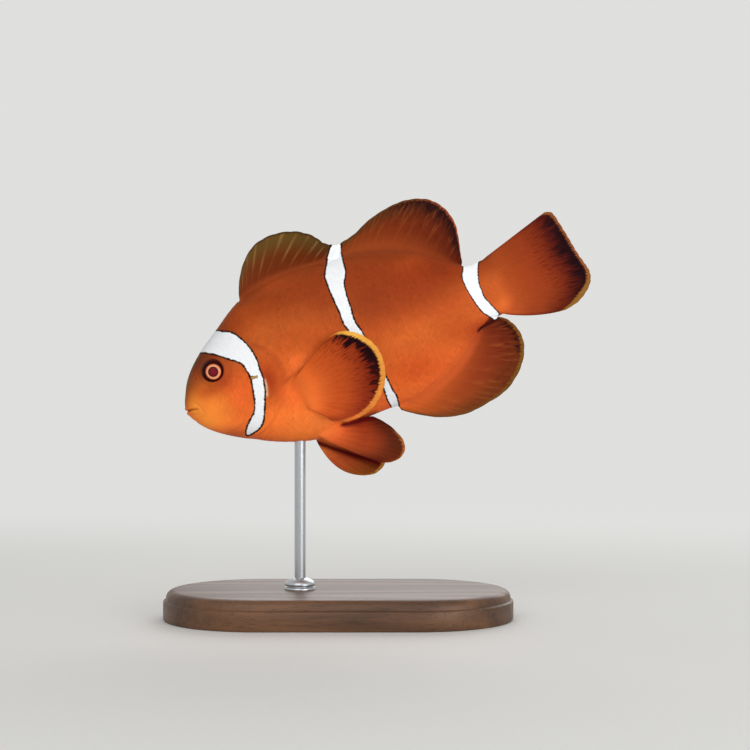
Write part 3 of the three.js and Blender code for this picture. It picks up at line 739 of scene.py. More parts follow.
# %% The white bars
HEAD_BAR = [
    (11.1, -12.9), (11.9, -11.4), (13.1, -10.3), (14.5, -9.1), (15.5, -7.7), (16.1, -5.7), (16.5, -3.9),
    (16.85, -2.1), (16.95, -0.45), (16.5, 1.5), (16.15, 2.85), (15.45, 3.65), (14.4, 4.55), (13.0, 5.6),
    (11.4, 6.8), (9.9, 7.8), (8.6, 8.55), (7.1, 9.1), (7.6, 11.0), (10.2, 12.4), (12.3, 12.4), (13.9, 11.5),
    (15.65, 10.65), (17.0, 9.2), (18.2, 7.05), (19.0, 5.0), (19.4, 3.0), (19.3, 0.4), (19.3, -1.85),
    (18.9, -4.1), (18.1, -6.3), (17.2, -8.35), (16.5, -10.1), (15.2, -11.9), (13.6, -12.7), (12.0, -13.0)]
MIDDLE_BAR = [
    (45.4, -19.6), (45.1, -18.0), (44.8, -16.0), (44.9, -13.1), (43.95, -9.1), (42.75, -3.2), (41.8, 1.75),
    (41.3, 3.6), (41.25, 6.6), (41.0, 9.6), (40.9, 12.6), (40.85, 15.2), (41.65, 16.95), (42.65, 18.9),
    (43.5, 20.5), (45.5, 22.5), (47.1, 22.7), (46.15, 19.6), (45.8, 16.9), (45.5, 14.7), (44.4, 12.7),
    (44.0, 9.8), (43.75, 5.8), (43.65, 2.9), (44.3, 0.9), (45.0, -4.0), (45.7, -8.9), (46.1, -11.8),
    (46.4, -13.8), (46.5, -15.1), (46.9, -17.0), (46.2, -19.7)]
TAIL_BAR = [
    (75.0, -7.4), (74.15, -6.5), (73.0, -5.2), (72.2, -3.45), (71.5, -1.1), (71.1, 1.45), (70.9, 3.4),
    (71.2, 4.95), (72.1, 6.75), (72.5, 8.0), (76.0, 7.7), (75.0, 5.1), (74.45, 3.4), (74.0, 1.6), (74.1, 0.1),
    (74.15, -1.7), (74.8, -3.35), (75.5, -4.8), (76.1, -6.5)]
# each outline, and how many times thinner than the head bar's its black line is
bars = [(through(outline, 3, closed=True), thinner)
        for outline, thinner in ((HEAD_BAR, 1), (MIDDLE_BAR, 1.1), (TAIL_BAR, 1.7))]
SPINE_TIP, SPINE_TIP_WIDTH = 0.76, 0.24  # where it starts, as a share of the spine, and its half width in mm


def bar_depth(x, z):
    """How many mm inside a white bar a place is, negative outside; the tip of the cheek spine is outside."""
    spine, along = distance_to(CHEEK_SPINE, x, z)
    tip = 3 * mound(spine, SPINE_TIP_WIDTH) * smooth((along - SPINE_TIP) / 0.06)
    depths = [(depth_inside(outline, x, z), thinner) for outline, thinner in bars]
    return np.max([depth * np.where(depth < 0, thinner, 1) for depth, thinner in depths], axis=0) - tip


print("bars:", len(bars), "with", [len(outline) for outline, _ in bars], "points")


# %% [markdown]
# The fins share one recipe: three runs of colour, at the foot, half-way and near the margin, and over them a
# black band just inside the margin and a pale rim. The band is combed: along each ray it ends in a tooth,
# sharp on the pectoral fins and soft on the tail. So each fin only says its colours and widths from its
# first ray to its last.

# %% The fins' colours
# Every run goes from the front ray, or the top one, to the last: the ground's three of colour, the edge's,
# the widths of rim and band in mm, and how dark the band is. Soft is the band's softness, and streak a ray's
# colour, strength and sharpness.
FIN_PAINT = {
    "spiny_dorsal": dict(
        foot=("7C3417", "702A0C", "762E10"), middle=("70351A", "642A0A", "522008"),
        outer=("5C3C1C", "5C421A", "3C1E0A"), edge=("4E3418", "4A3014", "3E2412"), rim=(0.4, 0.5, 0.5, 0.1),
        band=(-6, -6, -6, -5, 0.6), dark=(0.5, 0.5, 0.8), soft=1, streak=("B48852", 0.75, 8)),
    "soft_dorsal": dict(
        foot=("97441D", "903D19", "481608"), middle=("863A12", "6E280C", "360C04"),
        outer=("5C3515", "48200C", "2E0B08"), edge=("4E3A1A", "5A3C1C", "7A3E22", "A8502C", "6A2E16"),
        rim=(0.4, 0.5, 0.5, 0.4, 0.3), band=(-6, -4.5, -0.3, 1.6, 2.5, 2.6, 1.6, -1.5),
        dark=(0.6, 0.9, 0.85, 0.7), soft=2.2, streak=("A65828", 0.3, 3)),
    "anal": dict(
        foot=("EE7230", "B04C20", "5C1A0A"), middle=("C45E22", "883617", "4A1608"),
        outer=("784424", "652C10", "3C1108"), edge=("5E3E18", "66441A", "6C4818", "784A1A", "50260F"),
        rim=(0.4, 0.6, 0.9, 0.8, 0.4), band=(-6, -6, -3.5, -1.2, 1.2, 1, -2), dark=(0.5, 0.6, 0.8, 0.85, 0.5),
        soft=1.8, streak=("B86430", 0.22, 3)),
    "tail": dict(
        foot=("9C441A", "AE4C1F", "BA5425"), middle=("8A3514", "983B18", "933B19"),
        outer=("5A180C", "5A160A", "521A0A"), edge=("8C5228", "8A4A24", "96542A", "8E5E28", "84581E"),
        rim=(1.3, 0.7, 0.6, 0.6, 0.7, 1.1, 1.9, 1.5), band=(0.8, 2.8, 4.2, 4.7, 4.8, 4.4, 3.4, 0.2, -4),
        dark=(1, 1), soft=4, streak=("7A2A10", 0.2, 3)),
    "pectoral": dict(
        foot=("DE6428", "EE7030", "F47534"), middle=("C4541F", "B94B1E", "D25924"),
        outer=("A84018", "6E1C0C", "B04420"),
        edge=("C86A24", "E8AA48", "DE9440", "D88838", "D87A36", "DC6C30"),
        rim=(0.5, 1.1, 1.3, 1.2, 1.2, 1.4, 1.5, 1.3, 0.6), band=(-4, 1.8, 3.0, 3.1, 2.7, 1.2, -0.9, -2.2, -5),
        dark=(1, 1, 1, 0.8, 0.45, 0.2), soft=1.6, streak=("7A240E", 0.22, 3)),
    "pelvic_left": dict(
        foot=("E26632", "F06E34", "F26A3A"), middle=("9E4420", "A03E1C", "A43A1C"),
        outer=("6A2A10", "54200E", "561E10"), edge=("7A4018", "98541E", "A8662C", "4E200E", "4A180C"),
        rim=(0.2, 0.25, 0.6, 0.7, 0.2), band=(BARE, BARE), dark=(0.6, 0.4), soft=1,
        streak=("8A3416", 0.25, 3)),
    # The right pelvic fin is painted brighter than the left: painted light where the left fin and the body
    # shade it.
    "pelvic_right": dict(
        foot=("EE7A3A", "F87A3C", "F26A3A"), middle=("BC542A", "B04A22", "A8401C"),
        outer=("98501E", "6E300F", "8A3418"), edge=("A87028", "B0782C", "A8662C", "8E3818", "4A180C"),
        rim=(0.3, 0.6, 0.8, 0.3, 0.2), band=(BARE, BARE), dark=(0.4, 0.4), soft=1, streak=("8A3416", 0.2, 3)),
}


def fin_layers(name, info, under):
    """A fin's ground and edge colours, mm inside its band and its rim, darkness and softness."""
    recipe = FIN_PAINT["pectoral" if name.startswith("pectoral") else name]

    def along(key):
        return spline(np.linspace(0, 1, len(recipe[key])), recipe[key])(info["u"])

    v = np.clip(info["v"], 0, 1)
    foot, halfway, outer, edge = (shades(*recipe[key])(info["u"])
                                  for key in ("foot", "middle", "outer", "edge"))
    membrane = blend(blend(foot, halfway, smooth(v / 0.5)), outer, smooth((v - 0.45) / 0.45))
    colour = blend(under, membrane, smooth(v / 0.2))
    streak, strength, sharpness = recipe["streak"]
    uneven = 0.6 + 0.4 * np.sin(2.3 * np.floor(info["ray"]) + 7 * v)  # no two rays are alike
    colour = blend(colour, linear(streak),
                   strength * uneven * info["ridge"] ** sharpness * smooth((v - 0.1) / 0.5))
    in_rim = along("rim") - info["from_tip"]
    return np.maximum(colour, 0), edge, along("band") + in_rim, in_rim, along("dark"), recipe["soft"] + 0 * v


# %% Painting the skin
RAYS_APART = 40  # between the ray numbers of two fins, so that each has its own comb


def lay_colour(mesh, name, colour):
    layer = mesh.attributes.new(name, "FLOAT_COLOR", "POINT")
    opaque = np.column_stack((colour, np.ones(len(colour))))
    layer.data.foreach_set("color", np.ascontiguousarray(opaque, np.float32).ravel())


def lay_values(mesh, name, *three):
    layer = mesh.attributes.new(name, "FLOAT_VECTOR", "POINT")
    layer.data.foreach_set("vector", np.column_stack(three).astype(np.float32).ravel())


skin_at = coordinates(skin_mesh)
x, z = skin_at[:, 0], skin_at[:, 2]
ground = body_ground(x, z)
edge_paint = ground.copy()
bar = bar_depth(x, z)
band, rim = np.full((2, len(x)), float(BARE))
dark, ray = np.zeros((2, len(x)))
soft = np.ones(len(x))
first = len(body_points)
for number, (name, (points, _, info)) in enumerate(fins.items()):
    here = np.flatnonzero((came_from >= first) & (came_from < first + len(points)))
    place = {key: value[came_from[here] - first] for key, value in info.items()}
    (ground[here], edge_paint[here], band[here], rim[here], dark[here],
     soft[here]) = fin_layers(name, place, ground[here])
    # The shaded lines, painted shadows among them, run on over every fin but the pectorals.
    if not name.startswith("pectoral"):
        ground[here] = lined(ground[here], x[here], z[here])
    ray[here] = place["ray"] + RAYS_APART * number
    if name.startswith("pe"):  # no bar crosses a paired fin
        bar[here] = BARE
    first += len(points)
lay_colour(skin_mesh, "ground", ground)
lay_colour(skin_mesh, "edge_paint", np.maximum(edge_paint, 0))
lay_values(skin_mesh, "markings", bar, band, rim)
lay_values(skin_mesh, "rays", ray, dark, soft)
skin_mesh.materials.clear()
skin = show_in_stand("skin", skin_mesh)
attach(skin, "root")
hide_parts("head", "lower_jaw", "gill_cover_left", "gill_cover_right", "trunk", "tail_stem",
            "dorsal_fin_spiny", "dorsal_fin_soft", "anal_fin", "tail_fin", "pectoral_fin_left",
            "pectoral_fin_right", "pelvic_fin_left", "pelvic_fin_right")
print("skin:", sum(len(face.vertices) - 2 for face in skin_mesh.polygons), "triangles")

# %% [markdown]
# ## Scales
# A clownfish has small, rounded scales that overlap like roof tiles, each row half a step off the next. A
# bump would hint at them, but real plates catch the light from every side. Each scale is a thin lens of 48
# triangles, laid on the skin row by row: the root dips under the skin and the rear edge stands less than a
# tenth of a millimetre proud. They shrink towards the tail and the face, and leave the lips, the snout and
# the eye's rim bare.

# %% Where the scales go
SCALE_SPACING = 1.3  # mm between rows on the widest part
FACE_SHARE = 0.62  # of the spacing, on the face
SCALES_FROM, STEM_SCALES_TO = 6.6, 78  # mm from the snout
COLUMN_STEP = 0.46  # from one column to the next, as a share of the spacing
rng = np.random.default_rng(7)


def girth_at(x):
    return np.interp(x, station, girth)


def flank_arc(x):
    return np.interp(x, station, flank_at * girth)


def row_pace(x):
    """mm between scale rows: finer towards the tail stem and on the face."""
    return SCALE_SPACING * np.sqrt(girth_at(x) / girth.max()) * (
        FACE_SHARE + (1 - FACE_SHARE) * smooth((x - 9) / 17))


def surface(x, arc):
    """The finished left skin's point and outward direction, arc mm down from the back's midline."""
    total = girth_at(x)
    mirrored = (arc < 0) | (arc > total)
    arc = np.where(arc < 0, -arc, np.where(arc > total, 2 * total - arc, arc))
    row = np.clip(np.interp(x, station, np.arange(len(station))), 0, len(station) - 1.001)
    column = np.clip(arc / total * HALF_ROUND, 0, HALF_ROUND - 0.001)
    i, j = row.astype(int), column.astype(int)
    s, t = (row - i)[..., None], (column - j)[..., None]
    both = []
    for grid in (half, skin_normals):
        value = ((grid[i, j] * (1 - s) + grid[i + 1, j] * s) * (1 - t)
                 + (grid[i, j + 1] * (1 - s) + grid[i + 1, j + 1] * s) * t)
        value[..., 1] *= np.where(mirrored, -1, 1)
        both.append(value)
    return both


def is_scaly(x, z, out):
    """Whether a scale grows at a place on the side view; out is the distance from the middle plane."""
    bare = np.hypot(x - EYE_X, z - EYE_Z) < 4.1
    bare |= (x + 0.35 * (z + 2) < 6.2) | (x < 6.5) | ((z < -9.3) & (x < 11))  # snout, lips and throat
    for line, behind, width, end in ((GILL_EDGE, 0.1, 0.42, 0.03), (CHEEK_EDGE, 0, 0.3, 0.05)):
        edge, along = distance_to(line, x, z)
        bare |= (np.abs(edge - behind) < width) & (along > end) & (along < 1 - end)
    bare |= (np.abs(x - 27.6) < 1.5) & (z < -3) & (z > -13.6)  # the pectoral fin's foot
    bare |= (out < 1.15) & (x < 73) & (x > np.where(z > 0, 18.8, 45.5))  # feet of the dorsal and anal fins
    bare |= (out < 3.2) & (x > 24.5) & (x < 34) & (z < -15)  # the pelvic fins' feet
    return ~bare & (x < STEM_SCALES_TO) & ((x < 74.5) | (out > 0.85))


columns, at_x = [], SCALES_FROM
while at_x < STEM_SCALES_TO:
    columns.append(at_x)
    at_x += COLUMN_STEP * row_pace(at_x)
centres = []
for number, column_x in enumerate(columns):
    step = row_pace(column_x)
    middle_arc = flank_arc(column_x) + step * 0.5 * (number % 2)
    rows = np.arange(-math.floor(middle_arc / step), math.floor((girth_at(column_x) - middle_arc) / step) + 1)
    centres += [(column_x, middle_arc + step * row) for row in rows]
centres = np.array(centres)
at, _ = surface(*centres.T)
centres = centres[is_scaly(at[:, 0], at[:, 2], np.abs(at[:, 1]))]
print("scales on a side:", len(centres), "in", len(columns), "columns")

# %% One scale, and how it's copied
ROUND, INNER_RING = 12, 0.62  # points round a scale, and its inner ring's share of the radius
SCALE_LENGTH, SCALE_WIDTH = 0.84, 0.62  # half of each, as shares of the row spacing
ROOT_LIFT, REAR_LIFT, CROWN, UNDERSIDE = -0.05, 0.07, 0.015, -0.10  # mm out from the skin
UNEVEN = 0.03  # how far places and sizes stray, as a share of the spacing
FRONT_TO = 38  # mm from the snout; each side has a front and a rear coat
MAP_SIZE, MAP_PLACE = 100, 0.0015  # mm of fish across the bake map, and half a scale's place as a share of it
turn = angles(ROUND)
outer = np.column_stack((np.cos(turn), np.sin(turn)))
plate = np.vstack((outer, outer * INNER_RING, [[0, 0], [0, 0]]))  # along, across; then the two middle points
radius = np.concatenate((np.ones(ROUND), np.full(ROUND, INNER_RING), [0, 0]))
lift = ROOT_LIFT + (REAR_LIFT - ROOT_LIFT) * (plate[:, 0] + 1) / 2 + CROWN * (1 - radius ** 4)
lift[-1] = UNDERSIDE
sides = [(k, (k + 1) % ROUND) for k in range(ROUND)]
top, underside = 2 * ROUND, 2 * ROUND + 1
plate_faces = np.array([(a, b, ROUND + b) for a, b in sides]
                       + [(a, ROUND + b, ROUND + a) for a, b in sides]
                       + [(ROUND + a, ROUND + b, top) for a, b in sides]
                       + [(b, a, underside) for a, b in sides])


def lay_bake_map(mesh, side, centres, faces):
    """Gives each scale a small place of its own on a map, so that its paint can be baked."""
    across = 0.5 + side * (0.01 + centres[:, 1:] / MAP_SIZE) + plate[:, 1] * MAP_PLACE
    along = 0.05 + 0.9 * centres[:, :1] / MAP_SIZE + plate[:, 0] * MAP_PLACE
    uv = np.stack((along, across), axis=-1).reshape(-1, 2)
    mesh.uv_layers.new(name="OFBake").data.foreach_set("uv", uv[faces.ravel()].ravel())


def crisp_rims(mesh):
    """Marks each scale's rim as a sharp edge, so that its top is shaded evenly."""
    ends_of = np.empty(2 * len(mesh.edges), np.int32)
    mesh.edges.foreach_get("vertices", ends_of)
    on_rim = (ends_of.reshape(-1, 2) % len(plate) < ROUND).all(1)
    mesh.attributes.new("sharp_edge", "BOOLEAN", "EDGE").data.foreach_set("value", on_rim)


def scale_coat(name, side, centres):
    """One mesh of many scales on a side of the fish, with the skin's paint and a map for baking."""
    step = row_pace(centres[:, 0])[:, None]
    jitter = rng.normal(0, UNEVEN, (len(centres), 2)) * step
    size = step * (1 + rng.normal(0, UNEVEN, (len(centres), 1)))
    x = centres[:, :1] + jitter[:, :1] + plate[:, 0] * size * SCALE_LENGTH
    arc = centres[:, 1:] + jitter[:, 1:] + plate[:, 1] * size * SCALE_WIDTH
    points, outward = surface(x, arc)
    flatter = (step / SCALE_SPACING + 0.35) / 1.35  # small scales lie flatter
    points = points + outward * (lift * flatter)[..., None]
    points[..., 1] *= -side
    points[..., 1] += tail_swing(points[..., 0])
    points = points.reshape(-1, 3)
    first_points = np.arange(len(centres))[:, None, None] * len(plate)
    faces = (plate_faces + first_points).reshape(-1, 3)[:, ::-side]
    mesh = new_mesh(name, points, faces)
    x, _, z = points.T
    lay_colour(mesh, "ground", body_ground(x, z))
    lay_values(mesh, "markings", bar_depth(x, z), *np.full((2, len(x)), BARE))
    tone = np.repeat(rng.normal(0, 1, len(centres)), len(plate))
    rear = radius * np.maximum(plate[:, 0], -0.2)
    lay_values(mesh, "scale", np.tile(radius, len(centres)), np.tile(rear, len(centres)), tone)
    lay_bake_map(mesh, side, centres, faces)
    crisp_rims(mesh)
    coat = show_in_stand(name, mesh)
    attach(coat, "root")
    print(f"{name}: {len(centres)} scales, {len(faces)} triangles")
    return coat


front = centres[:, 0] < FRONT_TO
coats = [scale_coat(f"scales_{side_name}_{part}", side, centres[chosen])
         for side_name, side in (("left", -1), ("right", 1))
         for part, chosen in (("front", front), ("rear", ~front))]

# %% [markdown]
# ## Eyes
# Museum fish have cast eyes: a painted iris under clear lacquer. Each is a shallow dome turned about the
# axis on which the eyeball looks out. The dark red pupil stands up a little, the bright iris is a ring with
# fine spokes, and a dark ring seats it in the socket. A clear coat over all of it gives the wet highlight.

# %% Eyeballs
PUPIL, IRIS, EYEBALL = 1.18, 1.95, 2.95  # radii in mm
EYE_ROUND = 72  # points round it
EYE_DEPTH = 0.95  # mm from the plain form in to the eyeball's middle
SHELL_FROM = -0.2  # mm; what lies deeper is painted as the rim is
# distance from the axis and height along it, from the front of the pupil to the back of the eyeball
EYE_PROFILE = [
    (0, 1.9), (0.4, 1.885), (0.8, 1.83), (1, 1.78), (PUPIL, 1.72), (1.24, 1.66), (1.35, 1.63), (1.55, 1.56),
    (1.75, 1.46), (1.88, 1.38), (IRIS, 1.28), (2.05, 1.2), (2.2, 1.13), (2.4, 1.0), (2.6, 0.8), (2.75, 0.58),
    (2.88, 0.3), (EYEBALL, -0.05), (2.9, -0.5), (2.5, -1.1), (1.6, -1.6), (0, -1.75)]


def eye_seat():
    """The left eyeball's middle, just under the plain form, and the direction out of the skin there."""
    point = side_of_body(EYE_X, EYE_Z)
    ahead, above = side_of_body(EYE_X + 0.3, EYE_Z), side_of_body(EYE_X, EYE_Z + 0.3)
    outward = np.cross(ahead - point, above - point)
    outward /= np.linalg.norm(outward)
    return point - outward * EYE_DEPTH, outward


eye_middle, eye_axis = eye_seat()
eye_axis = eye_axis * (0.05, 1, 0.12) - (0.03, 0, 0.08)  # it looks nearly straight out, and a little down
eye_axis /= np.linalg.norm(eye_axis)


def eyeball(name, side, node_name):
    centre, outward = eye_middle * (1, -side, 1), eye_axis * (1, -side, 1)
    across = np.cross(outward, (0, 0, 1.0))
    across /= np.linalg.norm(across)
    up = np.cross(outward, across)
    turn = angles(EYE_ROUND)
    circle = np.cos(turn)[:, None] * across + np.sin(turn)[:, None] * up
    rings = EYE_PROFILE[1:-1]
    points = [centre + outward * rise + circle * r for r, rise in rings]
    points += [[centre + outward * EYE_PROFILE[end][1]] for end in (0, -1)]
    points = np.concatenate(points)
    distance = [r if rise > SHELL_FROM else EYEBALL for r, rise in rings]
    index = closed_rings(points, EYE_ROUND)
    faces = domed(index, len(points) - 2, len(points) - 1)
    mesh = turned_out(new_mesh(name, points, faces))
    spoke = np.append(np.tile(turn, len(rings)), (0, 0))
    distance = np.append(np.repeat(distance, EYE_ROUND), (0, EYEBALL))
    lay_values(mesh, "eye", distance, np.cos(spoke), np.sin(spoke))
    eye = show_in_stand(name, mesh)
    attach(eye, "root")
    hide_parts(node_name)
    return eye


eyes = [eyeball("eyeball_left", -1, "eye_left"), eyeball("eyeball_right", 1, "eye_right")]
print("eye axis:", np.round(eye_axis, 2))

# %% [markdown]
# ## The display stand
# A turned collar holds a steel rod upright on a dark wooden base, with softened edges. The base is a stadium
# outline carried through a moulding profile; rod and collar are profiles turned about the rod's axis.

# %% Base, rod and collar
base_low, base_high = np.array(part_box("stand_base"))
rod_low, rod_high = np.array(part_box("stand_rod"))
collar_low, collar_high = np.array(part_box("stand_collar"))
rod_x = (rod_low[0] + rod_high[0]) / 2
base_top = base_high[2]
BASE_ROUND, TURNED_ROUND, ROD_RINGS = 96, 64, 12
INTO_FISH = 1.2  # mm of rod beyond its solid's top, in the belly
# inset from the outline, or from the collar's radius, and height, in mm, from below
BASE_MOULDING = [
    (1.6, 0), (0.5, 0), (0.15, 0.15), (0, 0.5), (0, 4.2), (0.08, 4.45), (0.35, 4.6), (0.6, 4.75), (0.66, 5.0),
    (0.7, 5.5), (0.95, 6.15), (1.4, 6.6), (2.0, 6.88), (2.8, 7.0)]
COLLAR_TURNING = [
    (0, 0), (0, 0.25), (0.1, 0.4), (0.45, 0.5), (0.5, 0.6), (0.45, 0.7), (0.12, 0.85), (0.05, 1.1),
    (0.15, 1.5), (0.5, 1.9), (1, 2.2), (1.5, 2.42), (1.75, 2.5), (1.95, 2.6), (2.1, 2.6), (2.2, 2.45)]


def stacked(name, loops, node_name):
    """A closed piece from level loops of points, capped at both ends, with its corners kept crisp."""
    points = np.concatenate(loops)
    index = closed_rings(points, len(loops[0]))
    faces = [*quads(index), tuple(index[0, :-1]), tuple(index[-1, -2::-1])]
    mesh = turned_out(new_mesh(name, points, faces))
    shade_smooth(mesh)
    mesh.set_sharp_from_angle(angle=math.radians(35))
    piece = show(name, mesh)
    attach(piece, "root")
    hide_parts(node_name)
    return piece


def stadium(inset, height):
    """A level loop inside the base's outline: two half rounds and the straights between them."""
    length, radius = (base_high - base_low)[:2] / 2
    turn = angles(BASE_ROUND, 0.5)
    x = np.cos(turn) * (radius - inset) + np.sign(np.cos(turn)) * (length - radius)
    return np.column_stack((x, np.sin(turn) * (radius - inset), np.full(BASE_ROUND, height)))


def turned(radius, height):
    """A level circle about the rod's axis."""
    turn = angles(TURNED_ROUND)
    x = rod_x + np.cos(turn) * radius
    return np.column_stack((x, np.sin(turn) * radius, np.full(TURNED_ROUND, height)))


base = stacked("base", [stadium(inset * MM, base_low[2] + rise * MM) for inset, rise in BASE_MOULDING],
               "stand_base")
rod_radius, collar_radius = (rod_high - rod_low)[1] / 2, (collar_high - collar_low)[1] / 2
chamfered = [turned(rod_radius * 0.7, base_top + 0.05 * MM), turned(rod_radius, base_top + 0.4 * MM)]
rod_heights = np.linspace(base_top + 1 * MM, rod_high[2] + INTO_FISH * MM, ROD_RINGS)
rod = stacked("rod", chamfered + [turned(rod_radius, height) for height in rod_heights],
              "stand_rod")
collar = stacked("collar", [turned(collar_radius - cut * MM, base_top + rise * MM)
                            for cut, rise in COLLAR_TURNING], "stand_collar")
print("base", np.round(base_high - base_low, 4), "rod radius", round(rod_radius, 5))

# %% [markdown]
# ## Materials
# Every finish is built from nodes, and reads from top to bottom like a recipe. One small function adds a
# node, sets it and links it, and gives back its output, so that the next line can use it. Object coordinates
# are in metres, so a noise whose features are a given number of millimetres wide has the scale `per_mm`
# gives.


# %% A node with its settings and links
def node(owner, kind, inputs=None, out=0, **settings):
    """Adds a node. Inputs are plain values or other nodes' outputs; the result is one of its own outputs."""
    made = owner.node_tree.nodes.new("ShaderNode" + kind)
    for key, value in settings.items():
        setattr(made, key, value)
    for socket, value in (inputs or {}).items():
        if isinstance(value, bpy.types.NodeSocket):
            owner.node_tree.links.new(value, made.inputs[socket])
        else:
            made.inputs[socket].default_value = value
    return made.outputs[out] if len(made.outputs) else None


def started(owner):
    """Empties a new material's or world's node tree, and gives the function that adds a node to it."""
    owner.use_nodes = True
    owner.node_tree.nodes.clear()
    return partial(node, owner)


def values_of(add, name):
    """The three values that a mesh's points carry under a name."""
    return add("SeparateXYZ", {0: add("Attribute", out="Vector", attribute_name=name)}).node.outputs


def rgba(code):
    return (*linear(code), 1)


def set_ramp(ramp, stops):
    """Sets a colour ramp's stops, given as (place, colour)."""
    while len(ramp.elements) < len(stops):
        ramp.elements.new(0.5)
    for element, (position, code) in zip(ramp.elements, stops):
        element.position, element.color = position, rgba(code)


def per_mm(width):
    """The scale of a texture whose features are this many mm wide."""
    return 1 / (width * MM)


# %% [markdown]
# Fish skin is a wet hide of saturated colour. The model's version is airbrushed acrylic under a satin
# varnish: the varnish gives a broad, faint sheen and leaves the colours deep. The paint is read from the
# points. Noise of a known size makes it uneven: clouds of pigment 2.5 mm wide, and speckles half a
# millimetre wide.


# %% Airbrushed pigment
def pigment(add, scaly):
    """The ground colour with its clouds and speckles, and the noises that other steps use again."""
    place = add("TexCoord", out="Object")
    cloud = add("TexNoise", {"Vector": place, "Scale": per_mm(2.5), "Detail": 3.0, "Roughness": 0.6})
    speckle = add("TexNoise", {"Vector": place, "Scale": per_mm(0.55), "Detail": 2.0, "Roughness": 0.6})
    shade = add("Math", {0: cloud, 1: 0.17, 2: 0.865}, operation="MULTIPLY_ADD")
    shade = add("Math", {0: speckle, 1: 0.10, 2: shade}, operation="MULTIPLY_ADD")
    if scaly:  # a scale's own tone, and the darker skin under its rear edge
        _, rear, tone = values_of(add, "scale")
        shade = add("Math", {0: tone, 1: 0.035, 2: shade}, operation="MULTIPLY_ADD")
        edge = add("MapRange", {"Value": rear, "From Min": 0.5, "From Max": 1.0, "To Min": 0.02,
                                "To Max": -0.13}, interpolation_type="SMOOTHSTEP")
        shade = add("Math", {0: shade, 1: edge}, operation="ADD")
    ground = add("Attribute", out="Color", attribute_name="ground")
    tint = add("HueSaturation", {"Value": shade, "Color": ground})
    return place, cloud, speckle, shade, tint


# %% [markdown]
# The bands and rims of the fins are combed along the rays. The comb is noise that changes fast from ray to
# ray and slowly along them: coarse teeth, two or three to a ray, and hairs about twice as fine. Each shifts
# the place where the black begins, and the hairs also run on inwards as faint maroon streaks.


# %% Combed bands and rims
def combed(add, tint, shade):
    """Lays a fin's black band, its streaks and its pale rim over a colour."""
    _, band, rim = values_of(add, "markings")
    ray, dark, soft = values_of(add, "rays")
    slowly = add("Math", {0: rim, 1: 0.08}, operation="MULTIPLY")
    comb = add("CombineXYZ", {0: ray, 1: slowly})
    teeth = add("TexNoise", {"Vector": comb, "Scale": 2.4, "Detail": 3.0, "Roughness": 0.6})
    hairs = add("TexNoise", {"Vector": comb, "Scale": 5.5, "Detail": 2.0, "Roughness": 0.6})

    reach = add("MapRange", {"Value": teeth, "To Min": -6.0, "To Max": 3.0})  # mm that teeth shift the band
    reach = add("Math", {0: hairs, 1: 3.0, 2: reach}, operation="MULTIPLY_ADD")
    reach = add("Math", {0: reach, 1: band}, operation="ADD")
    reach = add("Math", {0: reach, 1: soft}, operation="DIVIDE")
    inside = add("MapRange", {"Value": reach, "From Min": -0.4, "From Max": 0.9},
                 interpolation_type="SMOOTHSTEP")
    ragged = add("Math", {0: hairs, 1: 1.8, 2: rim}, operation="MULTIPLY_ADD")
    on_rim = add("MapRange", {"Value": ragged, "From Min": 0.6, "From Max": 1.2},
                 interpolation_type="SMOOTHSTEP")

    hairy = add("MapRange", {"Value": hairs, "From Min": 0.50, "From Max": 0.66})
    near = add("MapRange", {"Value": band, "From Min": BARE, "From Max": 0.5, "To Min": 0.05, "To Max": 0.85},
               interpolation_type="SMOOTHSTEP")
    streaks = add("Math", {0: hairy, 1: near}, operation="MULTIPLY")
    streaks = add("Math", {0: streaks, 1: dark}, operation="MULTIPLY")
    tint = add("Mix", {0: streaks, 6: tint, 7: rgba("5C1008")}, out=2, data_type="RGBA")
    black = add("Math", {0: inside, 1: dark}, operation="MULTIPLY")
    tint = add("Mix", {0: black, 6: tint, 7: rgba("1C0409")}, out=2, data_type="RGBA")
    edge_paint = add("Attribute", out="Color", attribute_name="edge_paint")
    fringe = add("Math", {0: hairs, 1: 0.5, 2: -0.25}, operation="MULTIPLY_ADD")
    fringe = add("Math", {0: fringe, 1: shade}, operation="ADD")
    edge_tint = add("HueSaturation", {"Value": fringe, "Color": edge_paint})
    return add("Mix", {0: on_rim, 6: tint, 7: edge_tint}, out=2, data_type="RGBA"), hairs


# %% [markdown]
# A clownfish's bars have a hard black outline, finely ragged because it follows the scales. The distance to
# the bar's edge is on the points, and two noises push it to and fro before it's cut into line and white.


# %% White bars with a black outline
def barred(add, place, shade, tint):
    """Lays the bars over a colour."""
    depth = values_of(add, "markings")[0]
    for width, push in ((0.4, 0.6), (2.2, 0.4)):  # of the noise, and how far it pushes, in mm
        wander = add("TexNoise", {"Vector": place, "Scale": per_mm(width), "Detail": 2.0})
        wander = add("Math", {0: wander, 1: push, 2: -push / 2}, operation="MULTIPLY_ADD")
        depth = add("Math", {0: depth, 1: wander}, operation="ADD")
    line = add("MapRange", {"Value": depth, "From Min": -0.52, "From Max": -0.28},
               interpolation_type="SMOOTHSTEP")
    white = add("MapRange", {"Value": depth, "From Min": -0.1, "From Max": 0.1},
                interpolation_type="SMOOTHSTEP")
    worn = add("Math", {0: shade, 1: 0.4, 2: 0.6}, operation="MULTIPLY_ADD")
    enamel = add("HueSaturation", {"Value": worn, "Color": rgba("EEF0F3")})
    tint = add("Mix", {0: line, 6: tint, 7: rgba("160605")}, out=2, data_type="RGBA")
    return add("Mix", {0: white, 6: tint, 7: enamel}, out=2, data_type="RGBA")


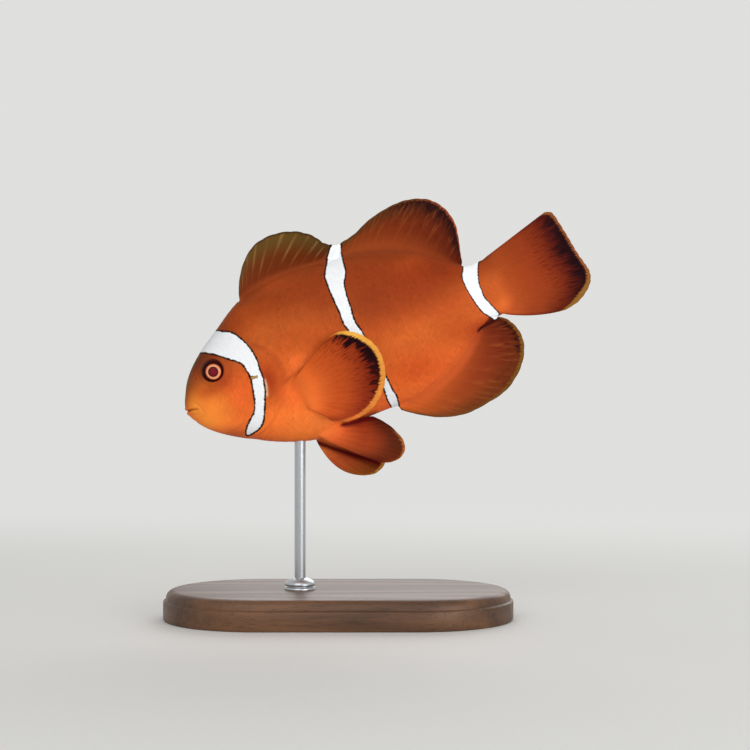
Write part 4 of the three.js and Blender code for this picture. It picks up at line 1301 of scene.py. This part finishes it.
# %% Satin varnish over it all
def varnished_paint(name, scaly):
    material = bpy.data.materials.new(name)
    add = started(material)
    place, cloud, speckle, shade, tint = pigment(add, scaly)
    pores = add("TexNoise", {"Vector": place, "Scale": per_mm(0.25), "Detail": 3.0, "Roughness": 0.7})
    height = add("Math", {0: cloud, 1: 0.5, 2: pores}, operation="MULTIPLY_ADD")
    if not scaly:
        tint, hairs = combed(add, tint, shade)
        height = add("Math", {0: hairs, 1: 2.5, 2: height}, operation="MULTIPLY_ADD")
    tint = barred(add, place, shade, tint)
    bump = add("Bump", {"Height": height, "Strength": 0.25, "Distance": 0.04 * MM})
    rough = add("Math", {0: speckle, 1: 0.16, 2: 0.34}, operation="MULTIPLY_ADD")
    surface = add("BsdfPrincipled", {"Base Color": tint, "Roughness": rough, "IOR": 1.3,
                                     "Specular IOR Level": 0.1, "Normal": bump})
    add("OutputMaterial", {"Surface": surface})
    return material


skin.data.materials.append(varnished_paint("varnished_skin_paint", False))
scale_paint = varnished_paint("varnished_scale_paint", True)
for coat in coats:
    coat.data.materials.append(scale_paint)
print("nodes in the skin's paint:", len(skin.data.materials[0].node_tree.nodes))

# %% [markdown]
# The eye is cast resin with a painted iris: maroon pupil, peach ring, black-maroon ring. A thin coat of
# clear lacquer over it gives the one sharp highlight on the model.


# %% Painted iris under clear lacquer
def lacquered_iris():
    material = bpy.data.materials.new("painted_iris_under_lacquer")
    add = started(material)
    radius, across, up = values_of(add, "eye")
    share = add("Math", {0: radius, 1: EYEBALL}, operation="DIVIDE")
    rings = add("ValToRGB", {"Fac": share})
    set_ramp(rings.node.color_ramp, [
        (0, "7A1620"), (0.24, "701520"), (0.36, "4A0810"), (0.395, "541210"), (0.42, "DE966E"),
        (0.50, "E29A6E"), (0.56, "D88052"), (0.61, "8A3416"), (0.65, "340202"), (0.74, "200101"),
        (0.88, "380602"), (1, "5A220C")])
    deep = add("Math", {0: radius, 1: 0.35}, operation="MULTIPLY")
    spoke = add("CombineXYZ", {0: across, 1: up, 2: deep})
    fibre = add("TexNoise", {"Vector": spoke, "Scale": 9.0, "Detail": 3.0})
    shade = add("Math", {0: fibre, 1: 0.5, 2: 0.75}, operation="MULTIPLY_ADD")
    tint = add("HueSaturation", {"Value": shade, "Color": rings})
    surface = add("BsdfPrincipled", {
        "Base Color": tint, "Roughness": 0.4, "IOR": 1.4, "Specular IOR Level": 0.02, "Coat Weight": 0.18,
        "Coat Roughness": 0.06, "Coat IOR": 1.4})
    add("OutputMaterial", {"Surface": surface})
    return material


iris_paint = lacquered_iris()
for eye in eyes:
    eye.data.materials.append(iris_paint)
print("iris:", iris_paint.name)

# %% [markdown]
# The base is walnut, sawn, sanded and rubbed with dark oil, which leaves a satin sheen. Growth rings cut
# along the grain show as long bands a few millimetres wide: noise drawn out along the base, folded to and
# fro so that it makes contour lines. Pores are short dark dashes, a quarter of a millimetre wide, along the
# same grain.


# %% Oiled walnut
def oiled_walnut():
    material = bpy.data.materials.new("oiled_walnut")
    add = started(material)
    place = add("TexCoord", out="Object")
    grain = add("Mapping", {"Vector": place, "Scale": (0.07, 1.0, 1.0)})
    growth = add("TexNoise", {"Vector": grain, "Scale": per_mm(24), "Detail": 2.0, "Roughness": 0.4})
    growth = add("Math", {0: growth, 1: 9.0}, operation="MULTIPLY")
    rings = add("Math", {0: growth, 1: 0.5}, operation="PINGPONG")
    fibre = add("TexNoise", {"Vector": grain, "Scale": per_mm(1.1), "Detail": 3.0, "Roughness": 0.7})
    figure = add("Math", {0: fibre, 1: 0.9, 2: rings}, operation="MULTIPLY_ADD")
    tint = add("ValToRGB", {"Fac": figure})
    set_ramp(tint.node.color_ramp, [(0.2, "38241A"), (1, "6B4930")])
    pore_place = add("Mapping", {"Vector": place, "Scale": (0.10, 1.0, 1.0)})
    pores = add("TexNoise", {"Vector": pore_place, "Scale": per_mm(0.25), "Detail": 1.0})
    open_pores = add("MapRange", {"Value": pores, "From Min": 0.60, "From Max": 0.72, "To Max": 0.5})
    tint = add("Mix", {0: open_pores, 6: tint, 7: rgba("1E110A")}, out=2, data_type="RGBA")
    bump = add("Bump", {"Height": open_pores, "Strength": 0.3, "Distance": 0.05 * MM}, invert=True)
    rough = add("Math", {0: rings, 1: -0.10, 2: 0.46}, operation="MULTIPLY_ADD")
    surface = add("BsdfPrincipled", {"Base Color": tint, "Roughness": rough, "IOR": 1.48,
                                     "Specular IOR Level": 0.4, "Normal": bump})
    add("OutputMaterial", {"Surface": surface})
    return material


base.data.materials.append(oiled_walnut())
print("base:", base.data.materials[0].name)

# %% [markdown]
# The rod is stainless steel, drawn and then brushed round, so its highlight breaks into fine rings 0.12 mm
# apart. The collar is the same steel turned on a lathe: its rings are the tool's, 0.2 mm apart, and
# smoother.


# %% Brushed and turned stainless steel
def stainless_steel(name, ring_mm, smoothest):
    material = bpy.data.materials.new(name)
    add = started(material)
    place = add("TexCoord", out="Object")
    round_it = add("Mapping", {"Vector": place, "Scale": (0.02, 0.02, 1.0)})
    rings = add("TexNoise", {"Vector": round_it, "Scale": per_mm(ring_mm), "Detail": 3.0, "Roughness": 0.7})
    rough = add("Math", {0: rings, 1: 0.2, 2: smoothest}, operation="MULTIPLY_ADD")
    bump = add("Bump", {"Height": rings, "Strength": 0.15, "Distance": 0.02 * MM})
    surface = add("BsdfPrincipled", {"Base Color": rgba("B9BCC0"), "Metallic": 1.0, "Roughness": rough,
                                     "Normal": bump})
    add("OutputMaterial", {"Surface": surface})
    return material


rod.data.materials.append(stainless_steel("brushed_stainless_steel", 0.12, 0.24))
collar.data.materials.append(stainless_steel("turned_stainless_steel", 0.2, 0.18))
print("steel:", rod.data.materials[0].name, "and", collar.data.materials[0].name)

# %% [markdown]
# ## A pale studio
# The stand is on a wide round sheet of matt paper, in a pale room. Near the stand the paper is lit as it is
# and keeps the shadow. Further out its look fades to the room's own, so that no horizon shows from any side.

# %% Matt paper
ROOM, ROOM_SEEN = "F4F4F2", 0.82  # the room's colour, and how bright it looks
LIT_TO, FADED_AT = 0.14, 0.38  # m from the stand's middle
SHEET, SHEET_SIDES = 4, 96  # the sheet's radius in m, and its corners


def seen_rays(add):
    """1 for a ray of sight, straight, off metal or through lacquer; 0 for one that only carries light."""
    ray_kind = add("LightPath").node.outputs
    seen = add("Math", {0: ray_kind["Is Camera Ray"], 1: ray_kind["Is Glossy Ray"]}, operation="MAXIMUM")
    return add("Math", {0: seen, 1: ray_kind["Is Transmission Ray"]}, operation="MAXIMUM")


def matt_paper():
    material = bpy.data.materials.new("matt_white_paper")
    add = started(material)
    place = add("TexCoord", out="Object")
    tooth = add("TexNoise", {"Vector": place, "Scale": per_mm(1.1), "Detail": 2.0})
    tint = add("Mix", {0: tooth, 6: rgba("F0F0EE"), 7: rgba("F4F4F2")}, out=2, data_type="RGBA")
    surface = add("BsdfPrincipled", {"Base Color": tint, "Roughness": 0.9, "Specular IOR Level": 0.1})
    from_stand = add("VectorMath", {0: place}, out=1, operation="LENGTH")
    fade = add("MapRange", {"Value": from_stand, "From Min": LIT_TO, "From Max": FADED_AT},
               interpolation_type="SMOOTHSTEP")
    fade = add("Math", {0: fade, 1: seen_rays(add)}, operation="MULTIPLY")
    glow = add("Emission", {"Color": rgba(ROOM), "Strength": ROOM_SEEN})
    look = add("MixShader", {0: fade, 1: surface, 2: glow})
    add("OutputMaterial", {"Surface": look})
    return material


turn = angles(SHEET_SIDES)
rim = np.column_stack((SHEET * np.cos(turn), SHEET * np.sin(turn), 0 * turn))
floor = show("floor", new_mesh("floor", rim, [range(SHEET_SIDES)]))
floor.data.materials.append(matt_paper())
print("paper:", 2 * SHEET, "m across")

# %% [markdown]
# Large lamps at a plain level keep the colours as they're written: a key from the upper left, a fill from
# the right, and a low one in front, because the belly of a swimming fish is lit from below too. A fourth
# lights its other side from behind.

# %% Lamps
LAMPS = {"key": ((-0.20, -0.66, 0.46), 0.6, 0.6, 1.5), "fill": ((0.50, -0.60, 0.15), 0.5, 0.3, 1.62),
         "low_front": ((0.12, -0.72, 0.10), 0.6, 0.2, 1.5), "behind": ((0.15, 0.60, 0.38), 0.6, 0.4, 1.7)}
for name, (place, width, height, watts) in LAMPS.items():  # where, its sides, m; power, W
    data = bpy.data.lights.new(name, "AREA")
    data.shape, data.size, data.size_y, data.energy = "RECTANGLE", width, height, watts
    lamp = bpy.data.objects.new(name, data)
    lamp.location = place
    lamp.rotation_euler = (Vector(VIEW_CENTRE) - Vector(place)).to_track_quat("-Z", "Y").to_euler()
    lamp.visible_glossy = name != "low_front"  # it would only glare off the top of the base
    bpy.context.scene.collection.objects.link(lamp)
print("lamps:", round(sum(lamp[-1] for lamp in LAMPS.values()), 2), "W in all")

# %% [markdown]
# The world fills the shadows softly. Seen directly or in the steel, it is as pale as the paper; as light on
# the fish it stays weak, so that the lamps still model its form.

# %% World
ROOM_LIGHT = 0.44
world = bpy.data.worlds.new("pale_room")
bpy.context.scene.world = world
add = started(world)
strength = add("MapRange", {"Value": seen_rays(add), "To Min": ROOM_LIGHT, "To Max": ROOM_SEEN})
room = add("Background", {"Color": rgba(ROOM), "Strength": strength})
add("OutputWorld", {"Surface": room})
bpy.context.scene.view_settings.view_transform = "Standard"
print("room:", ROOM_LIGHT, "as light,", ROOM_SEEN, "as seen")
